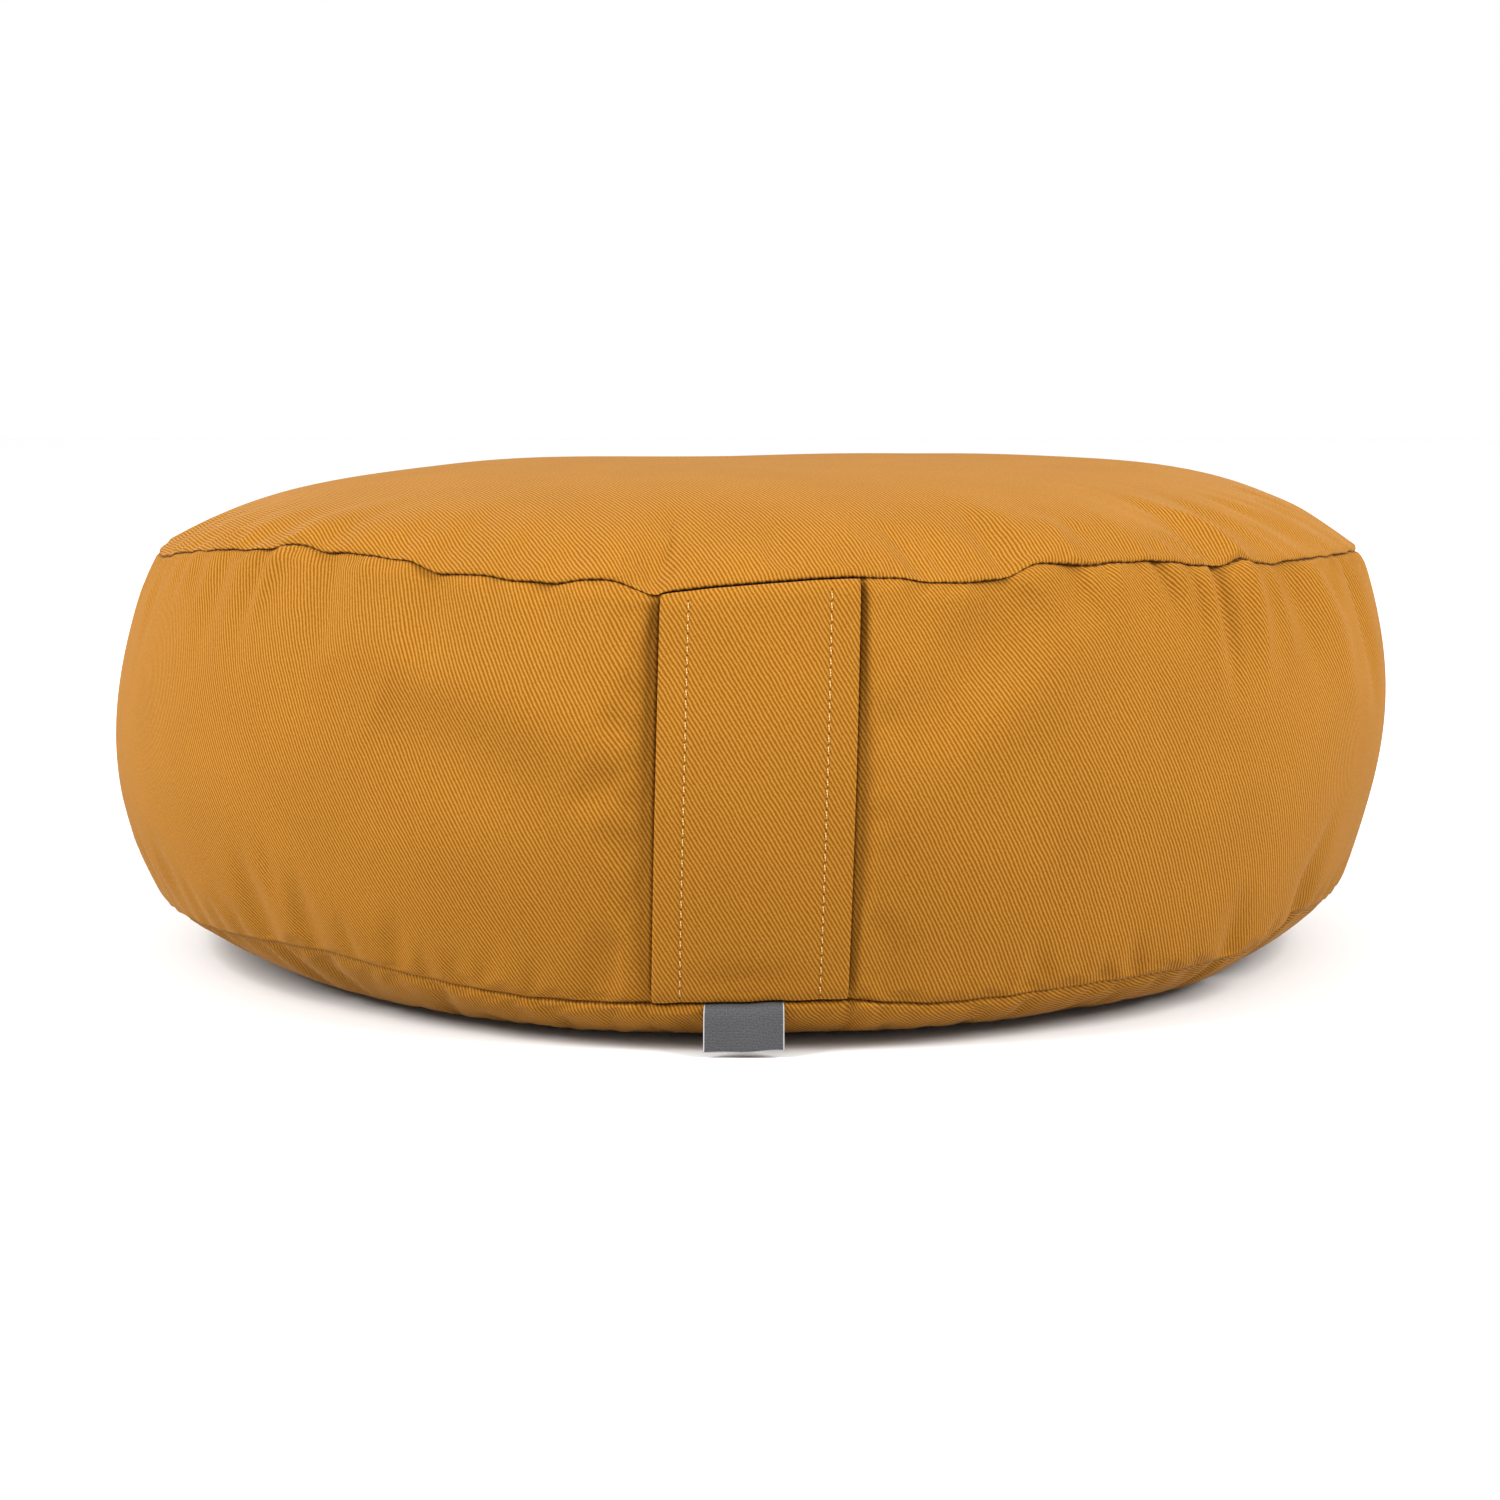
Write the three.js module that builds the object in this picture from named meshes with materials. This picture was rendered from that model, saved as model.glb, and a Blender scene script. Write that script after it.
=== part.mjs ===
// A round meditation cushion. A top panel, a side band and a bottom panel of cotton twill are sewn
// together at two seams and filled firmly. A carry strap of the same twill lies over the front of the
// band, and a small folded tape tag hangs from the bottom seam below it.
// Millimetres, +Z up. The origin is the centre of the flat base, and the strap faces -Y.
// An azimuth is in degrees around the upright axis, from 0 at the strap, and grows towards +X.

import * as THREE from 'three';

// Sizes of the filled cover
const MEAN_SEAM_HEIGHT = 134;
const SEAM_DRAW = 32;
const CROWN = 25.6;
const CROWN_POWER = 0.8;
const ROLL_POWER = 2.35;
const GROOVE_DEPTH = 2.2;
const GROOVE_WIDTH = 2.2;
const BAND_MID_RADIUS = 205;

// Sizes of the carry strap
const STRAP_WIDTH = 56.5;
const STRAP_THICKNESS = 2;
const HEM_CHAMFER = 0.6;
const STRAP_BULGE = 8.5;
const STRAP_PROUD = 0.8;
const STRAP_CENTRE = 0.35;
const STRAP_LEAN = 0.85;
const STRAP_INFLUENCE = 25;
const STRAP_SIDE_ROOM = 1;
const VALLEY_LEFT = 20;
const VALLEY_RIGHT = 8;
const VALLEY_AT_SEAMS = 0.35;

// Sizes of the side tag
const TAG_WIDTH = 22.5;
const TAG_CENTRE = -0.5;
const TAG_THICKNESS = 1.1;
const TAG_CHAMFER = 0.2;
const TAG_PATH = table(['outwards', 'upwards'], [
  [-2.6, -0.8],
  [-1, -0.85],
  [0.3, -1.5],
  [0.8, -3.4],
  [1.1, -7.5],
  [1.5, -13.4],
]);

// Room between pieces that touch
const GAP = 0.35;

// Shapes an even rise and fall along a fold so that it is deepest a third of the way along
const FOLD_POWER = 0.6;

// The filling's swells fade out this far in from the top seam
const SWELL_FADE = 20;

// Heights of the two seams around the rim, sagging and rising as the cloth is drawn in
const TOP_SEAM = table(['azimuth', 'height'], [
  [-68, 131],
  [-62, 134.5],
  [-51, 137.5],
  [-41.5, 140.5],
  [-31, 138],
  [-26, 134.2],
  [-16.5, 132.2],
  [-12, 133.6],
  [-7.4, 129.8],
  [-2, 132.3],
  [8.5, 134.4],
  [17, 132.4],
  [20.3, 133.2],
  [23.8, 137],
  [30, 136],
  [36.5, 136.3],
  [42.8, 134],
  [46, 135.4],
  [50, 133.4],
  [56, 133.7],
  [70, 133],
  [92, 130.5],
  [125, 136],
  [150, 133],
  [180, 135.5],
  [205, 132.5],
  [235, 136],
  [265, 132.5],
]);
const BOTTOM_SEAM = table(['azimuth', 'height'], [
  [-58, 19.5],
  [-39.5, 21.2],
  [-32, 18.8],
  [-20, 15.1],
  [-12, 14.5],
  [-3.5, 15],
  [7.7, 15.7],
  [15, 13.7],
  [30, 15.2],
  [43, 15.5],
  [50, 16.3],
  [56, 19.9],
  [60, 22.6],
  [69.5, 21.6],
  [100, 17],
  [140, 20],
  [180, 17.5],
  [220, 20.5],
  [265, 18],
]);

// How the cover stands around the rim: the radii of its two seams, how far the band bulges and at which
// share of its height, the radius of the flat that rests, and how full the top panel is.
const RIM = table(['azimuth', 'topRadius', 'bottomRadius', 'bulge', 'peak', 'restRadius', 'fullness'], [
  [-80, 197.5, 197.5, 12.8, 0.46, 126, 3.5],
  [-40, 199.5, 197.5, 12, 0.47, 151, 3.6],
  [-10, 200, 197, 11, 0.5, 159, 4],
  [40, 201.5, 197, 11, 0.52, 150, 4.4],
  [80, 202.2, 197, 10.6, 0.53, 147, 4.5],
  [130, 200, 197.5, 12, 0.48, 150, 4.2],
  [180, 200, 197, 11.5, 0.5, 152, 4],
  [230, 198.5, 197.5, 12.5, 0.46, 146, 3.8],
]);

// Soft folds in the band, each from one place to another. A ridge has a positive depth and a trough a
// negative one, and a fold is deepest a third of the way along.
const BAND_FOLDS = table(['azimuth', 'height', 'toAzimuth', 'toHeight', 'width', 'depth'], [
  [-51, 140, -53, 100, 7, -0.8],
  [-46, 142, -47, 104, 6, -1.1],
  [-42, 146, -44, 105, 5, 1.5],
  [-37.5, 142, -36, 108, 7, -1],
  [-28, 142, -25, 105, 8, -1],
  [-17, 138, -16, 112, 6, -0.8],
  [-24, 92, -17, 60, 14, -1.2],
  [22, 132, 9, 76, 12, -1.8],
  [13, 134, 13, 108, 6, -0.8],
  [27, 142, 26.5, 116, 5, -1],
  [30.5, 142, 30, 112, 5, 0.9],
  [36.5, 142, 37, 110, 6, -1.2],
  [41, 142, 41, 90, 5, 1.1],
  [44.5, 144, 43.5, 82, 5, -2],
  [47, 144, 46, 84, 5, 1.4],
  [52, 142, 55, 92, 6, -1.2],
  [56, 140, 62, 84, 7, 1.1],
  [66, 140, 70, 80, 7, -1.3],
  [-47, 14, -45, 42, 7, -1],
  [-40, 14, -41, 38, 6, -0.9],
  [47, 8, 45, 40, 7, -1.2],
  [60, 12, 57, 44, 7, -1.4],
  [84, 138, 86, 98, 8, -1.1],
  [105, 138, 107, 98, 9, -1.5],
  [121, 142, 119, 94, 8, 1.4],
  [143, 140, 146, 102, 9, -1.4],
  [168, 140, 165, 96, 9, -1.7],
  [193, 140, 195, 102, 8, 1.3],
  [214, 138, 211, 96, 10, -1.6],
  [236, 142, 238, 100, 9, -1.5],
  [255, 138, 253, 102, 8, 1.2],
  [270, 138, 272, 98, 9, -1.2],
  [88, 12, 86, 44, 9, -1.2],
  [112, 12, 110, 46, 10, -1.4],
  [158, 14, 160, 48, 10, -1.5],
  [205, 14, 204, 46, 10, -1.4],
  [248, 14, 250, 46, 10, -1.5],
]);

// Puckers that run from the top seam towards the crown
const TOP_PUCKERS = table(['azimuth', 'reach', 'width', 'depth'], [
  [-58, 30, 8, -1],
  [-47, 34, 8, -1.2],
  [-30, 30, 8, -1],
  [-8, 22, 5, -1.2],
  [14, 26, 8, -1],
  [22, 30, 7, -1.2],
  [28, 26, 6, 0.9],
  [42, 30, 6, -1.3],
  [46.5, 28, 5, 1],
  [60, 30, 8, -1.1],
  [104, 32, 9, -1.3],
  [133, 34, 9, -1.2],
  [166, 30, 9, -1.2],
  [199, 34, 9, -1.3],
  [229, 30, 9, -1.1],
  [262, 32, 9, -1.3],
]);

// Low swells of the filling under the top panel
const CROWN_SWELLS = table(['azimuth', 'radius', 'spread', 'height'], [
  [92, 140, 50, 1.6],
  [-92, 140, 50, -0.6],
  [-20, 20, 50, -0.9],
  [110, 80, 30, 0.7],
]);

// Where the columns and rows of the faceted cover stand
const FINE_STEP = 1.85;
const COARSE_STEP = 3;
const FINE_REACH = 77;
const STRAP_COLUMNS = 10;
const TAG_COLUMNS = 4;
const TAG_ROWS = 9;
const BASE_ROWS = [0.4, 0.75, 1];
const ROLL_ROWS = [0.36, 0.62, 0.8, 0.91, 0.975];
const BAND_ROWS = [
  0, 0.014, 0.032, 0.075, 0.145, 0.23, 0.33, 0.43, 0.53, 0.63, 0.73, 0.82, 0.9, 0.955, 0.986, 1,
];
const CROWN_ROWS = [0.997, 0.985, 0.962, 0.925, 0.87, 0.79, 0.67, 0.52, 0.35, 0.17];

// Plain helpers

function table(columns, rows) {
  return rows.map((row) => Object.fromEntries(columns.map((name, index) => [name, row[index]])));
}

function radians(degrees) {
  return THREE.MathUtils.degToRad(degrees);
}

function turned(azimuth) {
  return THREE.MathUtils.euclideanModulo(azimuth + 180, 360) - 180;
}

function bell(distance, width) {
  return Math.exp(-((distance / width) ** 2));
}

// Rises from 0 and falls back to 0 along a fold's length, which runs from 0 to 1
function swellAlong(share) {
  return Math.sin(Math.PI * THREE.MathUtils.clamp(share, 0, 1) ** FOLD_POWER);
}

function onRim(azimuth, radius, height) {
  const angle = radians(azimuth);
  return new THREE.Vector3(radius * Math.sin(angle), -radius * Math.cos(angle), height);
}

// A column of a table as a smooth function of the azimuth, closed after one turn
function aroundRim(rows, column) {
  const first = rows[0].azimuth;
  const knot = (index) => {
    const turns = Math.floor(index / rows.length);
    const row = rows[index - turns * rows.length];
    return { azimuth: row.azimuth + 360 * turns, value: row[column] };
  };
  const slope = (index) => {
    const before = knot(index - 1);
    const after = knot(index + 1);
    return (after.value - before.value) / (after.azimuth - before.azimuth);
  };
  return (azimuth) => {
    const wanted = first + THREE.MathUtils.euclideanModulo(azimuth - first, 360);
    let index = 0;
    while (knot(index + 1).azimuth <= wanted) {
      index += 1;
    }
    const start = knot(index);
    const end = knot(index + 1);
    const span = end.azimuth - start.azimuth;
    const t = (wanted - start.azimuth) / span;
    const rise = end.value - start.value;
    const startSlope = slope(index) * span;
    const endSlope = slope(index + 1) * span;
    return start.value + t * startSlope
      + t * t * (3 * rise - 2 * startSlope - endSlope)
      + t * t * t * (startSlope + endSlope - 2 * rise);
  };
}

const topSeamHeight = aroundRim(TOP_SEAM, 'height');
const bottomSeamHeight = aroundRim(BOTTOM_SEAM, 'height');
const topRadius = aroundRim(RIM, 'topRadius');
const bottomRadius = aroundRim(RIM, 'bottomRadius');
const bandBulge = aroundRim(RIM, 'bulge');
const bandPeak = aroundRim(RIM, 'peak');
const restRadius = aroundRim(RIM, 'restRadius');
const topFullness = aroundRim(RIM, 'fullness');

// The strap's own face

function strapRadius(azimuth, share) {
  const seam = THREE.MathUtils.lerp(bottomRadius(azimuth), topRadius(azimuth), share);
  return seam + STRAP_PROUD + STRAP_BULGE * Math.sin(Math.PI * share);
}

// Distance in millimetres past the strap's edge, below zero under the strap
function pastStrapEdge(azimuth, share) {
  const lean = STRAP_CENTRE + STRAP_LEAN * (share - 0.5);
  return radians(Math.abs(turned(azimuth - lean))) * strapRadius(0, share) - STRAP_WIDTH / 2;
}

// Azimuth of a column at a share of the band's height. Near the strap the columns lean and narrow with it.
function columnAzimuth(nominal, share) {
  const near = bell(turned(nominal), STRAP_INFLUENCE);
  const lean = STRAP_CENTRE + STRAP_LEAN * (share - 0.5);
  const narrowing = BAND_MID_RADIUS / strapRadius(0, share) - 1;
  return nominal * (1 + near * narrowing) + near * lean;
}

// The band's face

function foldDepth(fold, azimuth, height) {
  const around = radians(turned(fold.toAzimuth - fold.azimuth)) * BAND_MID_RADIUS;
  const up = fold.toHeight - fold.height;
  const length = Math.hypot(around, up);
  const x = radians(turned(azimuth - fold.azimuth)) * BAND_MID_RADIUS;
  const y = height - fold.height;
  const along = (x * around + y * up) / (length * length);
  const across = (x * up - y * around) / length;
  return fold.depth * swellAlong(along) * bell(across, fold.width);
}

function freeBandRadius(azimuth, share, height) {
  const seam = THREE.MathUtils.lerp(bottomRadius(azimuth), topRadius(azimuth), share);
  const skew = Math.log(0.5) / Math.log(bandPeak(azimuth));
  const bulge = bandBulge(azimuth) * Math.sin(Math.PI * share ** skew);
  const folds = BAND_FOLDS.reduce((sum, fold) => sum + foldDepth(fold, azimuth, height), 0);
  return seam + bulge + folds;
}

function bandRadius(azimuth, share, height) {
  const past = pastStrapEdge(azimuth, share);
  const widest = turned(azimuth) < STRAP_CENTRE ? VALLEY_LEFT : VALLEY_RIGHT;
  const valley = widest * THREE.MathUtils.lerp(VALLEY_AT_SEAMS, 1, Math.sin(Math.PI * share));
  const underStrap = strapRadius(azimuth, share) - STRAP_THICKNESS - GAP;
  const open = THREE.MathUtils.smoothstep(past, STRAP_SIDE_ROOM, STRAP_SIDE_ROOM + valley);
  return THREE.MathUtils.lerp(underStrap, freeBandRadius(azimuth, share, height), open);
}

function groove(distance) {
  return GROOVE_DEPTH * bell(distance, GROOVE_WIDTH);
}

function bandPoint(nominal, share) {
  const azimuth = columnAzimuth(nominal, share);
  const low = bottomSeamHeight(azimuth);
  const high = topSeamHeight(azimuth);
  const height = THREE.MathUtils.lerp(low, high, share);
  const turnIn = groove(height - low) + groove(high - height);
  return onRim(azimuth, bandRadius(azimuth, share, height) - turnIn, height);
}

// The bottom panel: flat where it rests, then rolled up to the bottom seam

function basePoint(nominal, share) {
  const azimuth = columnAzimuth(nominal, 0);
  return onRim(azimuth, restRadius(azimuth) * share, 0);
}

function rollPoint(nominal, share) {
  const azimuth = columnAzimuth(nominal, 0);
  const seamHeight = bottomSeamHeight(azimuth);
  const radius = THREE.MathUtils.lerp(restRadius(azimuth), bandRadius(azimuth, 0, seamHeight), share);
  const height = seamHeight * share ** ROLL_POWER;
  return onRim(azimuth, radius - groove(seamHeight - height), height);
}

// The top panel: full near the seam and nearly level at the crown

function crownPoint(nominal, share) {
  const azimuth = columnAzimuth(nominal, 1);
  const seamRadius = topRadius(azimuth);
  const inward = seamRadius * (1 - share);
  const seamHeight = THREE.MathUtils.lerp(MEAN_SEAM_HEIGHT, topSeamHeight(azimuth), bell(inward, SEAM_DRAW));
  const rise = CROWN * (1 - share ** topFullness(azimuth)) ** CROWN_POWER;
  let height = seamHeight + rise;
  for (const swell of CROWN_SWELLS) {
    const away = onRim(azimuth, seamRadius * share, 0).distanceTo(onRim(swell.azimuth, swell.radius, 0));
    height += swell.height * bell(away, swell.spread) * Math.min(1, inward / SWELL_FADE);
  }
  for (const pucker of TOP_PUCKERS) {
    const across = radians(turned(azimuth - pucker.azimuth)) * seamRadius;
    height += pucker.depth * swellAlong(inward / pucker.reach) * bell(across, pucker.width);
  }
  return onRim(azimuth, seamRadius * share - groove(Math.hypot(inward, rise)), height);
}

// Closed solids from stacked rings of points

function solid(points, triangles) {
  const geometry = new THREE.BufferGeometry().setFromPoints(points);
  geometry.setIndex(triangles);
  geometry.computeVertexNormals();
  return geometry;
}

function wallTriangles(ringCount, ringSize) {
  const triangles = [];
  for (let ring = 0; ring < ringCount - 1; ring += 1) {
    for (let step = 0; step < ringSize; step += 1) {
      const next = (step + 1) % ringSize;
      const low = ring * ringSize;
      const high = low + ringSize;
      triangles.push(low + step, low + next, high + next);
      triangles.push(low + step, high + next, high + step);
    }
  }
  return triangles;
}

// A solid whose first and last rings close on a point each
function roundSolid(rings, bottomPole, topPole) {
  const size = rings[0].length;
  const points = [...rings.flat(), bottomPole, topPole];
  const triangles = wallTriangles(rings.length, size);
  const lastRing = (rings.length - 1) * size;
  for (let step = 0; step < size; step += 1) {
    const next = (step + 1) % size;
    triangles.push(points.length - 2, next, step);
    triangles.push(points.length - 1, lastRing + step, lastRing + next);
  }
  return solid(points, triangles);
}

// A solid whose rings are flat loops: left edge, outer face, right edge, then the inner face back again
function sheetSolid(rings) {
  const size = rings[0].length;
  const triangles = wallTriangles(rings.length, size);
  const lastRing = (rings.length - 1) * size;
  const endFace = (a, b, c) => {
    if (a !== b && b !== c) {
      triangles.push(a, c, b);
      triangles.push(lastRing + a, lastRing + b, lastRing + c);
    }
  };
  for (let step = 0; step < size / 2; step += 1) {
    const back = (size - step) % size;
    const nextBack = size - step - 1;
    endFace(step, step + 1, nextBack);
    endFace(nextBack, back, step);
  }
  return solid(rings.flat(), triangles);
}

// Columns across a flat piece, and its ring of points for a function of azimuth and depth below its face
function sheetRing(halfAngle, chamferAngle, columnCount, thickness, place) {
  const inside = evenSteps(-halfAngle, halfAngle, (2 * halfAngle) / columnCount).slice(1);
  const columns = [-halfAngle + chamferAngle, ...inside, halfAngle - chamferAngle];
  return [
    place(-halfAngle, thickness / 2),
    ...columns.map((column) => place(column, 0)),
    place(halfAngle, thickness / 2),
    ...columns.toReversed().map((column) => place(column, thickness)),
  ];
}

// The pieces

function strapHalfAngle() {
  return THREE.MathUtils.radToDeg(STRAP_WIDTH / 2 / BAND_MID_RADIUS);
}

function evenSteps(from, to, step) {
  const count = Math.ceil((to - from) / step);
  return Array.from({ length: count }, (_, index) => from + ((to - from) * index) / count);
}

function bodyColumns() {
  const edge = strapHalfAngle();
  return [
    ...evenSteps(-FINE_REACH, -edge, FINE_STEP),
    ...evenSteps(-edge, edge, (2 * edge) / STRAP_COLUMNS),
    ...evenSteps(edge, FINE_REACH, FINE_STEP),
    ...evenSteps(FINE_REACH, 360 - FINE_REACH, COARSE_STEP),
  ];
}

function cushionBody() {
  const columns = bodyColumns();
  const rings = [
    ...BASE_ROWS.map((share) => columns.map((column) => basePoint(column, share))),
    ...ROLL_ROWS.map((share) => columns.map((column) => rollPoint(column, share))),
    ...BAND_ROWS.map((share) => columns.map((column) => bandPoint(column, share))),
    ...CROWN_ROWS.map((share) => columns.map((column) => crownPoint(column, share))),
  ];
  return roundSolid(rings, new THREE.Vector3(0, 0, 0), crownPoint(0, 0));
}

function strapRing(share) {
  const chamferAngle = THREE.MathUtils.radToDeg(HEM_CHAMFER / BAND_MID_RADIUS);
  return sheetRing(strapHalfAngle(), chamferAngle, STRAP_COLUMNS, STRAP_THICKNESS, (nominal, depth) => {
    const azimuth = columnAzimuth(nominal, share);
    const low = bottomSeamHeight(azimuth);
    const high = topSeamHeight(azimuth);
    const height = THREE.MathUtils.lerp(low + GAP, high - GAP, share);
    const turnIn = groove(height - low) + groove(high - height);
    return onRim(azimuth, strapRadius(azimuth, share) - turnIn - depth, height);
  });
}

function carryStrap() {
  return sheetSolid(BAND_ROWS.map(strapRing));
}

// The tag leaves the seam under the strap's foot, turns over the edge and hangs beside the bottom panel.
// Its path is given outwards and upwards from the seam.
function sideTag() {
  const points = TAG_PATH.map((row) => new THREE.Vector3(row.outwards, 0, row.upwards));
  const path = new THREE.CatmullRomCurve3(points);
  const halfAngle = THREE.MathUtils.radToDeg(TAG_WIDTH / 2 / bottomRadius(TAG_CENTRE));
  const chamferAngle = (halfAngle * TAG_CHAMFER) / (TAG_WIDTH / 2);
  const rings = [];
  for (let step = TAG_ROWS; step >= 0; step -= 1) {
    const middle = path.getPoint(step / TAG_ROWS);
    const along = path.getTangent(step / TAG_ROWS);
    rings.push(sheetRing(halfAngle, chamferAngle, TAG_COLUMNS, TAG_THICKNESS, (nominal, depth) => {
      const azimuth = TAG_CENTRE + nominal;
      const out = TAG_THICKNESS / 2 - depth;
      const radius = bottomRadius(azimuth) + middle.x - along.z * out;
      return onRim(azimuth, radius, bottomSeamHeight(azimuth) + middle.z + along.x * out);
    }));
  }
  return sheetSolid(rings);
}

function material(color, roughness) {
  return new THREE.MeshStandardMaterial({ color, roughness, metalness: 0 });
}

function piece(name, geometry, finish) {
  const mesh = new THREE.Mesh(geometry, finish);
  mesh.name = name;
  return mesh;
}

const cushion = new THREE.Group();
cushion.add(piece('cushion_body', cushionBody(), material(0xc0852f, 0.9)));
cushion.add(piece('carry_strap', carryStrap(), material(0xc48a33, 0.88)));
cushion.add(piece('side_tag', sideTag(), material(0x626266, 0.85)));

export default cushion;
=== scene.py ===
"""Dresses the round meditation cushion in a plain studio: twill cover, carry strap, stitches and side tag.

Sizes are millimetres unless a name says otherwise, and meshes are made in metres. An azimuth is in degrees
around the upright axis, from 0 at the strap, and grows towards +X. A share runs from 0 to 1 along what it
names.
"""

import logging
import math
from dataclasses import dataclass, field
from enum import Enum
from typing import Any, Callable, NamedTuple, Sequence

import bpy
import numpy as np
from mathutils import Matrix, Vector


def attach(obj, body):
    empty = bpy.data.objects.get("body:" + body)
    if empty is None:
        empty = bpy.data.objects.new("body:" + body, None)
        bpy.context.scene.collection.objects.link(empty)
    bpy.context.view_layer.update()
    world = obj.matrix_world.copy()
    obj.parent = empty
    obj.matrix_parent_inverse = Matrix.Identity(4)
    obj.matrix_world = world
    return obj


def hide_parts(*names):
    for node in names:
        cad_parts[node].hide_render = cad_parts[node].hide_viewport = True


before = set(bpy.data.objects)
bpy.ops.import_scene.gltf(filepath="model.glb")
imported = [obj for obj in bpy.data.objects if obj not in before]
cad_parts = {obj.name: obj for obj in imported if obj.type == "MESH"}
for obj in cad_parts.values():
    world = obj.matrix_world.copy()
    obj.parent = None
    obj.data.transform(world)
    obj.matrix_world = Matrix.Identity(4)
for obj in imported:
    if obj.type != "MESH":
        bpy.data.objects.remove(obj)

Array = np.ndarray
LOG = logging.getLogger("cushion")
MM = 0.001
BAND_RUN = 118.0


class SeamKnot(NamedTuple):
    """Height of a seam at one azimuth."""

    azimuth: float
    height: float


class RimRow(NamedTuple):
    """The cover at one azimuth: seam radii, bulge, how far up it is widest, its flat and its fullness."""

    azimuth: float
    top_radius: float
    bottom_radius: float
    bulge: float
    peak: float
    rest_radius: float
    fullness: float


class Fold(NamedTuple):
    """A soft fold in the band from one place to another, a ridge where its depth is positive."""

    azimuth: float
    height: float
    to_azimuth: float
    to_height: float
    width: float
    depth: float


class Pucker(NamedTuple):
    """A fold that runs from a seam into the top or bottom panel."""

    azimuth: float
    reach: float
    width: float
    depth: float


class Swell(NamedTuple):
    """A low rise or hollow of the filling under the top panel."""

    azimuth: float
    radius: float
    spread: float
    height: float


class Drift(NamedTuple):
    """A place where the gathered band's weave is drawn aside."""

    azimuth: float
    height: float
    spread_around: float
    spread_up: float
    shift: float


class Ripple(NamedTuple):
    """One of the small waves that a seam makes on its way round."""

    count: float
    height: float
    phase: float


# The seams dip and rise as the band is eased into them. From -60 to 60 degrees they follow the real cushion,
# and behind that they go on in the same way.
TOP_SEAM = (
    SeamKnot(-84, 130.4), SeamKnot(-70.5, 131.4), SeamKnot(-65.5, 133.4), SeamKnot(-57, 136.1),
    SeamKnot(-51, 137.4), SeamKnot(-45, 138.8), SeamKnot(-42.2, 140.4), SeamKnot(-40.4, 139.9),
    SeamKnot(-38.4, 138.9), SeamKnot(-34.2, 138.5), SeamKnot(-29.4, 137.4), SeamKnot(-27.7, 135.7),
    SeamKnot(-26, 134.1), SeamKnot(-22.4, 133.9), SeamKnot(-16.6, 132.2), SeamKnot(-12, 133.6),
    SeamKnot(-8.9, 131.0), SeamKnot(-7.5, 129.7), SeamKnot(-6.6, 130.3), SeamKnot(-2, 132.2),
    SeamKnot(8.5, 134.4), SeamKnot(17, 132.4), SeamKnot(20.3, 133.2), SeamKnot(23.8, 137),
    SeamKnot(29, 136.1), SeamKnot(32.6, 136.8), SeamKnot(36.4, 136.2), SeamKnot(42.9, 134),
    SeamKnot(45.8, 135.6), SeamKnot(47.4, 134.3), SeamKnot(50, 133.4), SeamKnot(56, 133.7),
    SeamKnot(70, 133), SeamKnot(92, 130.5), SeamKnot(125, 136), SeamKnot(150, 133),
    SeamKnot(180, 135.5), SeamKnot(205, 132.5), SeamKnot(235, 136), SeamKnot(262, 131.6),
)
BOTTOM_SEAM = (
    SeamKnot(-58, 19.5), SeamKnot(-39.5, 21.2), SeamKnot(-32, 18.8), SeamKnot(-20, 15.1),
    SeamKnot(-12, 14.5), SeamKnot(-3.5, 15), SeamKnot(7.7, 15.7), SeamKnot(15, 13.7),
    SeamKnot(30, 15.2), SeamKnot(43, 15.5), SeamKnot(50, 16.3), SeamKnot(56, 19.9),
    SeamKnot(60, 22.6), SeamKnot(69.5, 21.6), SeamKnot(100, 17), SeamKnot(140, 20),
    SeamKnot(180, 17.5), SeamKnot(220, 20.5), SeamKnot(265, 18),
)
RIM = (
    RimRow(-80, 197.5, 197.5, 12.8, 0.46, 126, 3.5),
    RimRow(-40, 199.5, 197.5, 12, 0.47, 151, 3.6),
    RimRow(-10, 200, 197, 11, 0.5, 159, 4),
    RimRow(40, 201.5, 197, 11, 0.52, 150, 4.4),
    RimRow(80, 202.2, 197, 10.6, 0.53, 147, 4.5),
    RimRow(130, 200, 197.5, 12, 0.48, 150, 4.2),
    RimRow(180, 200, 197, 11.5, 0.5, 152, 4),
    RimRow(230, 198.5, 197.5, 12.5, 0.46, 146, 3.8),
)
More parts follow.
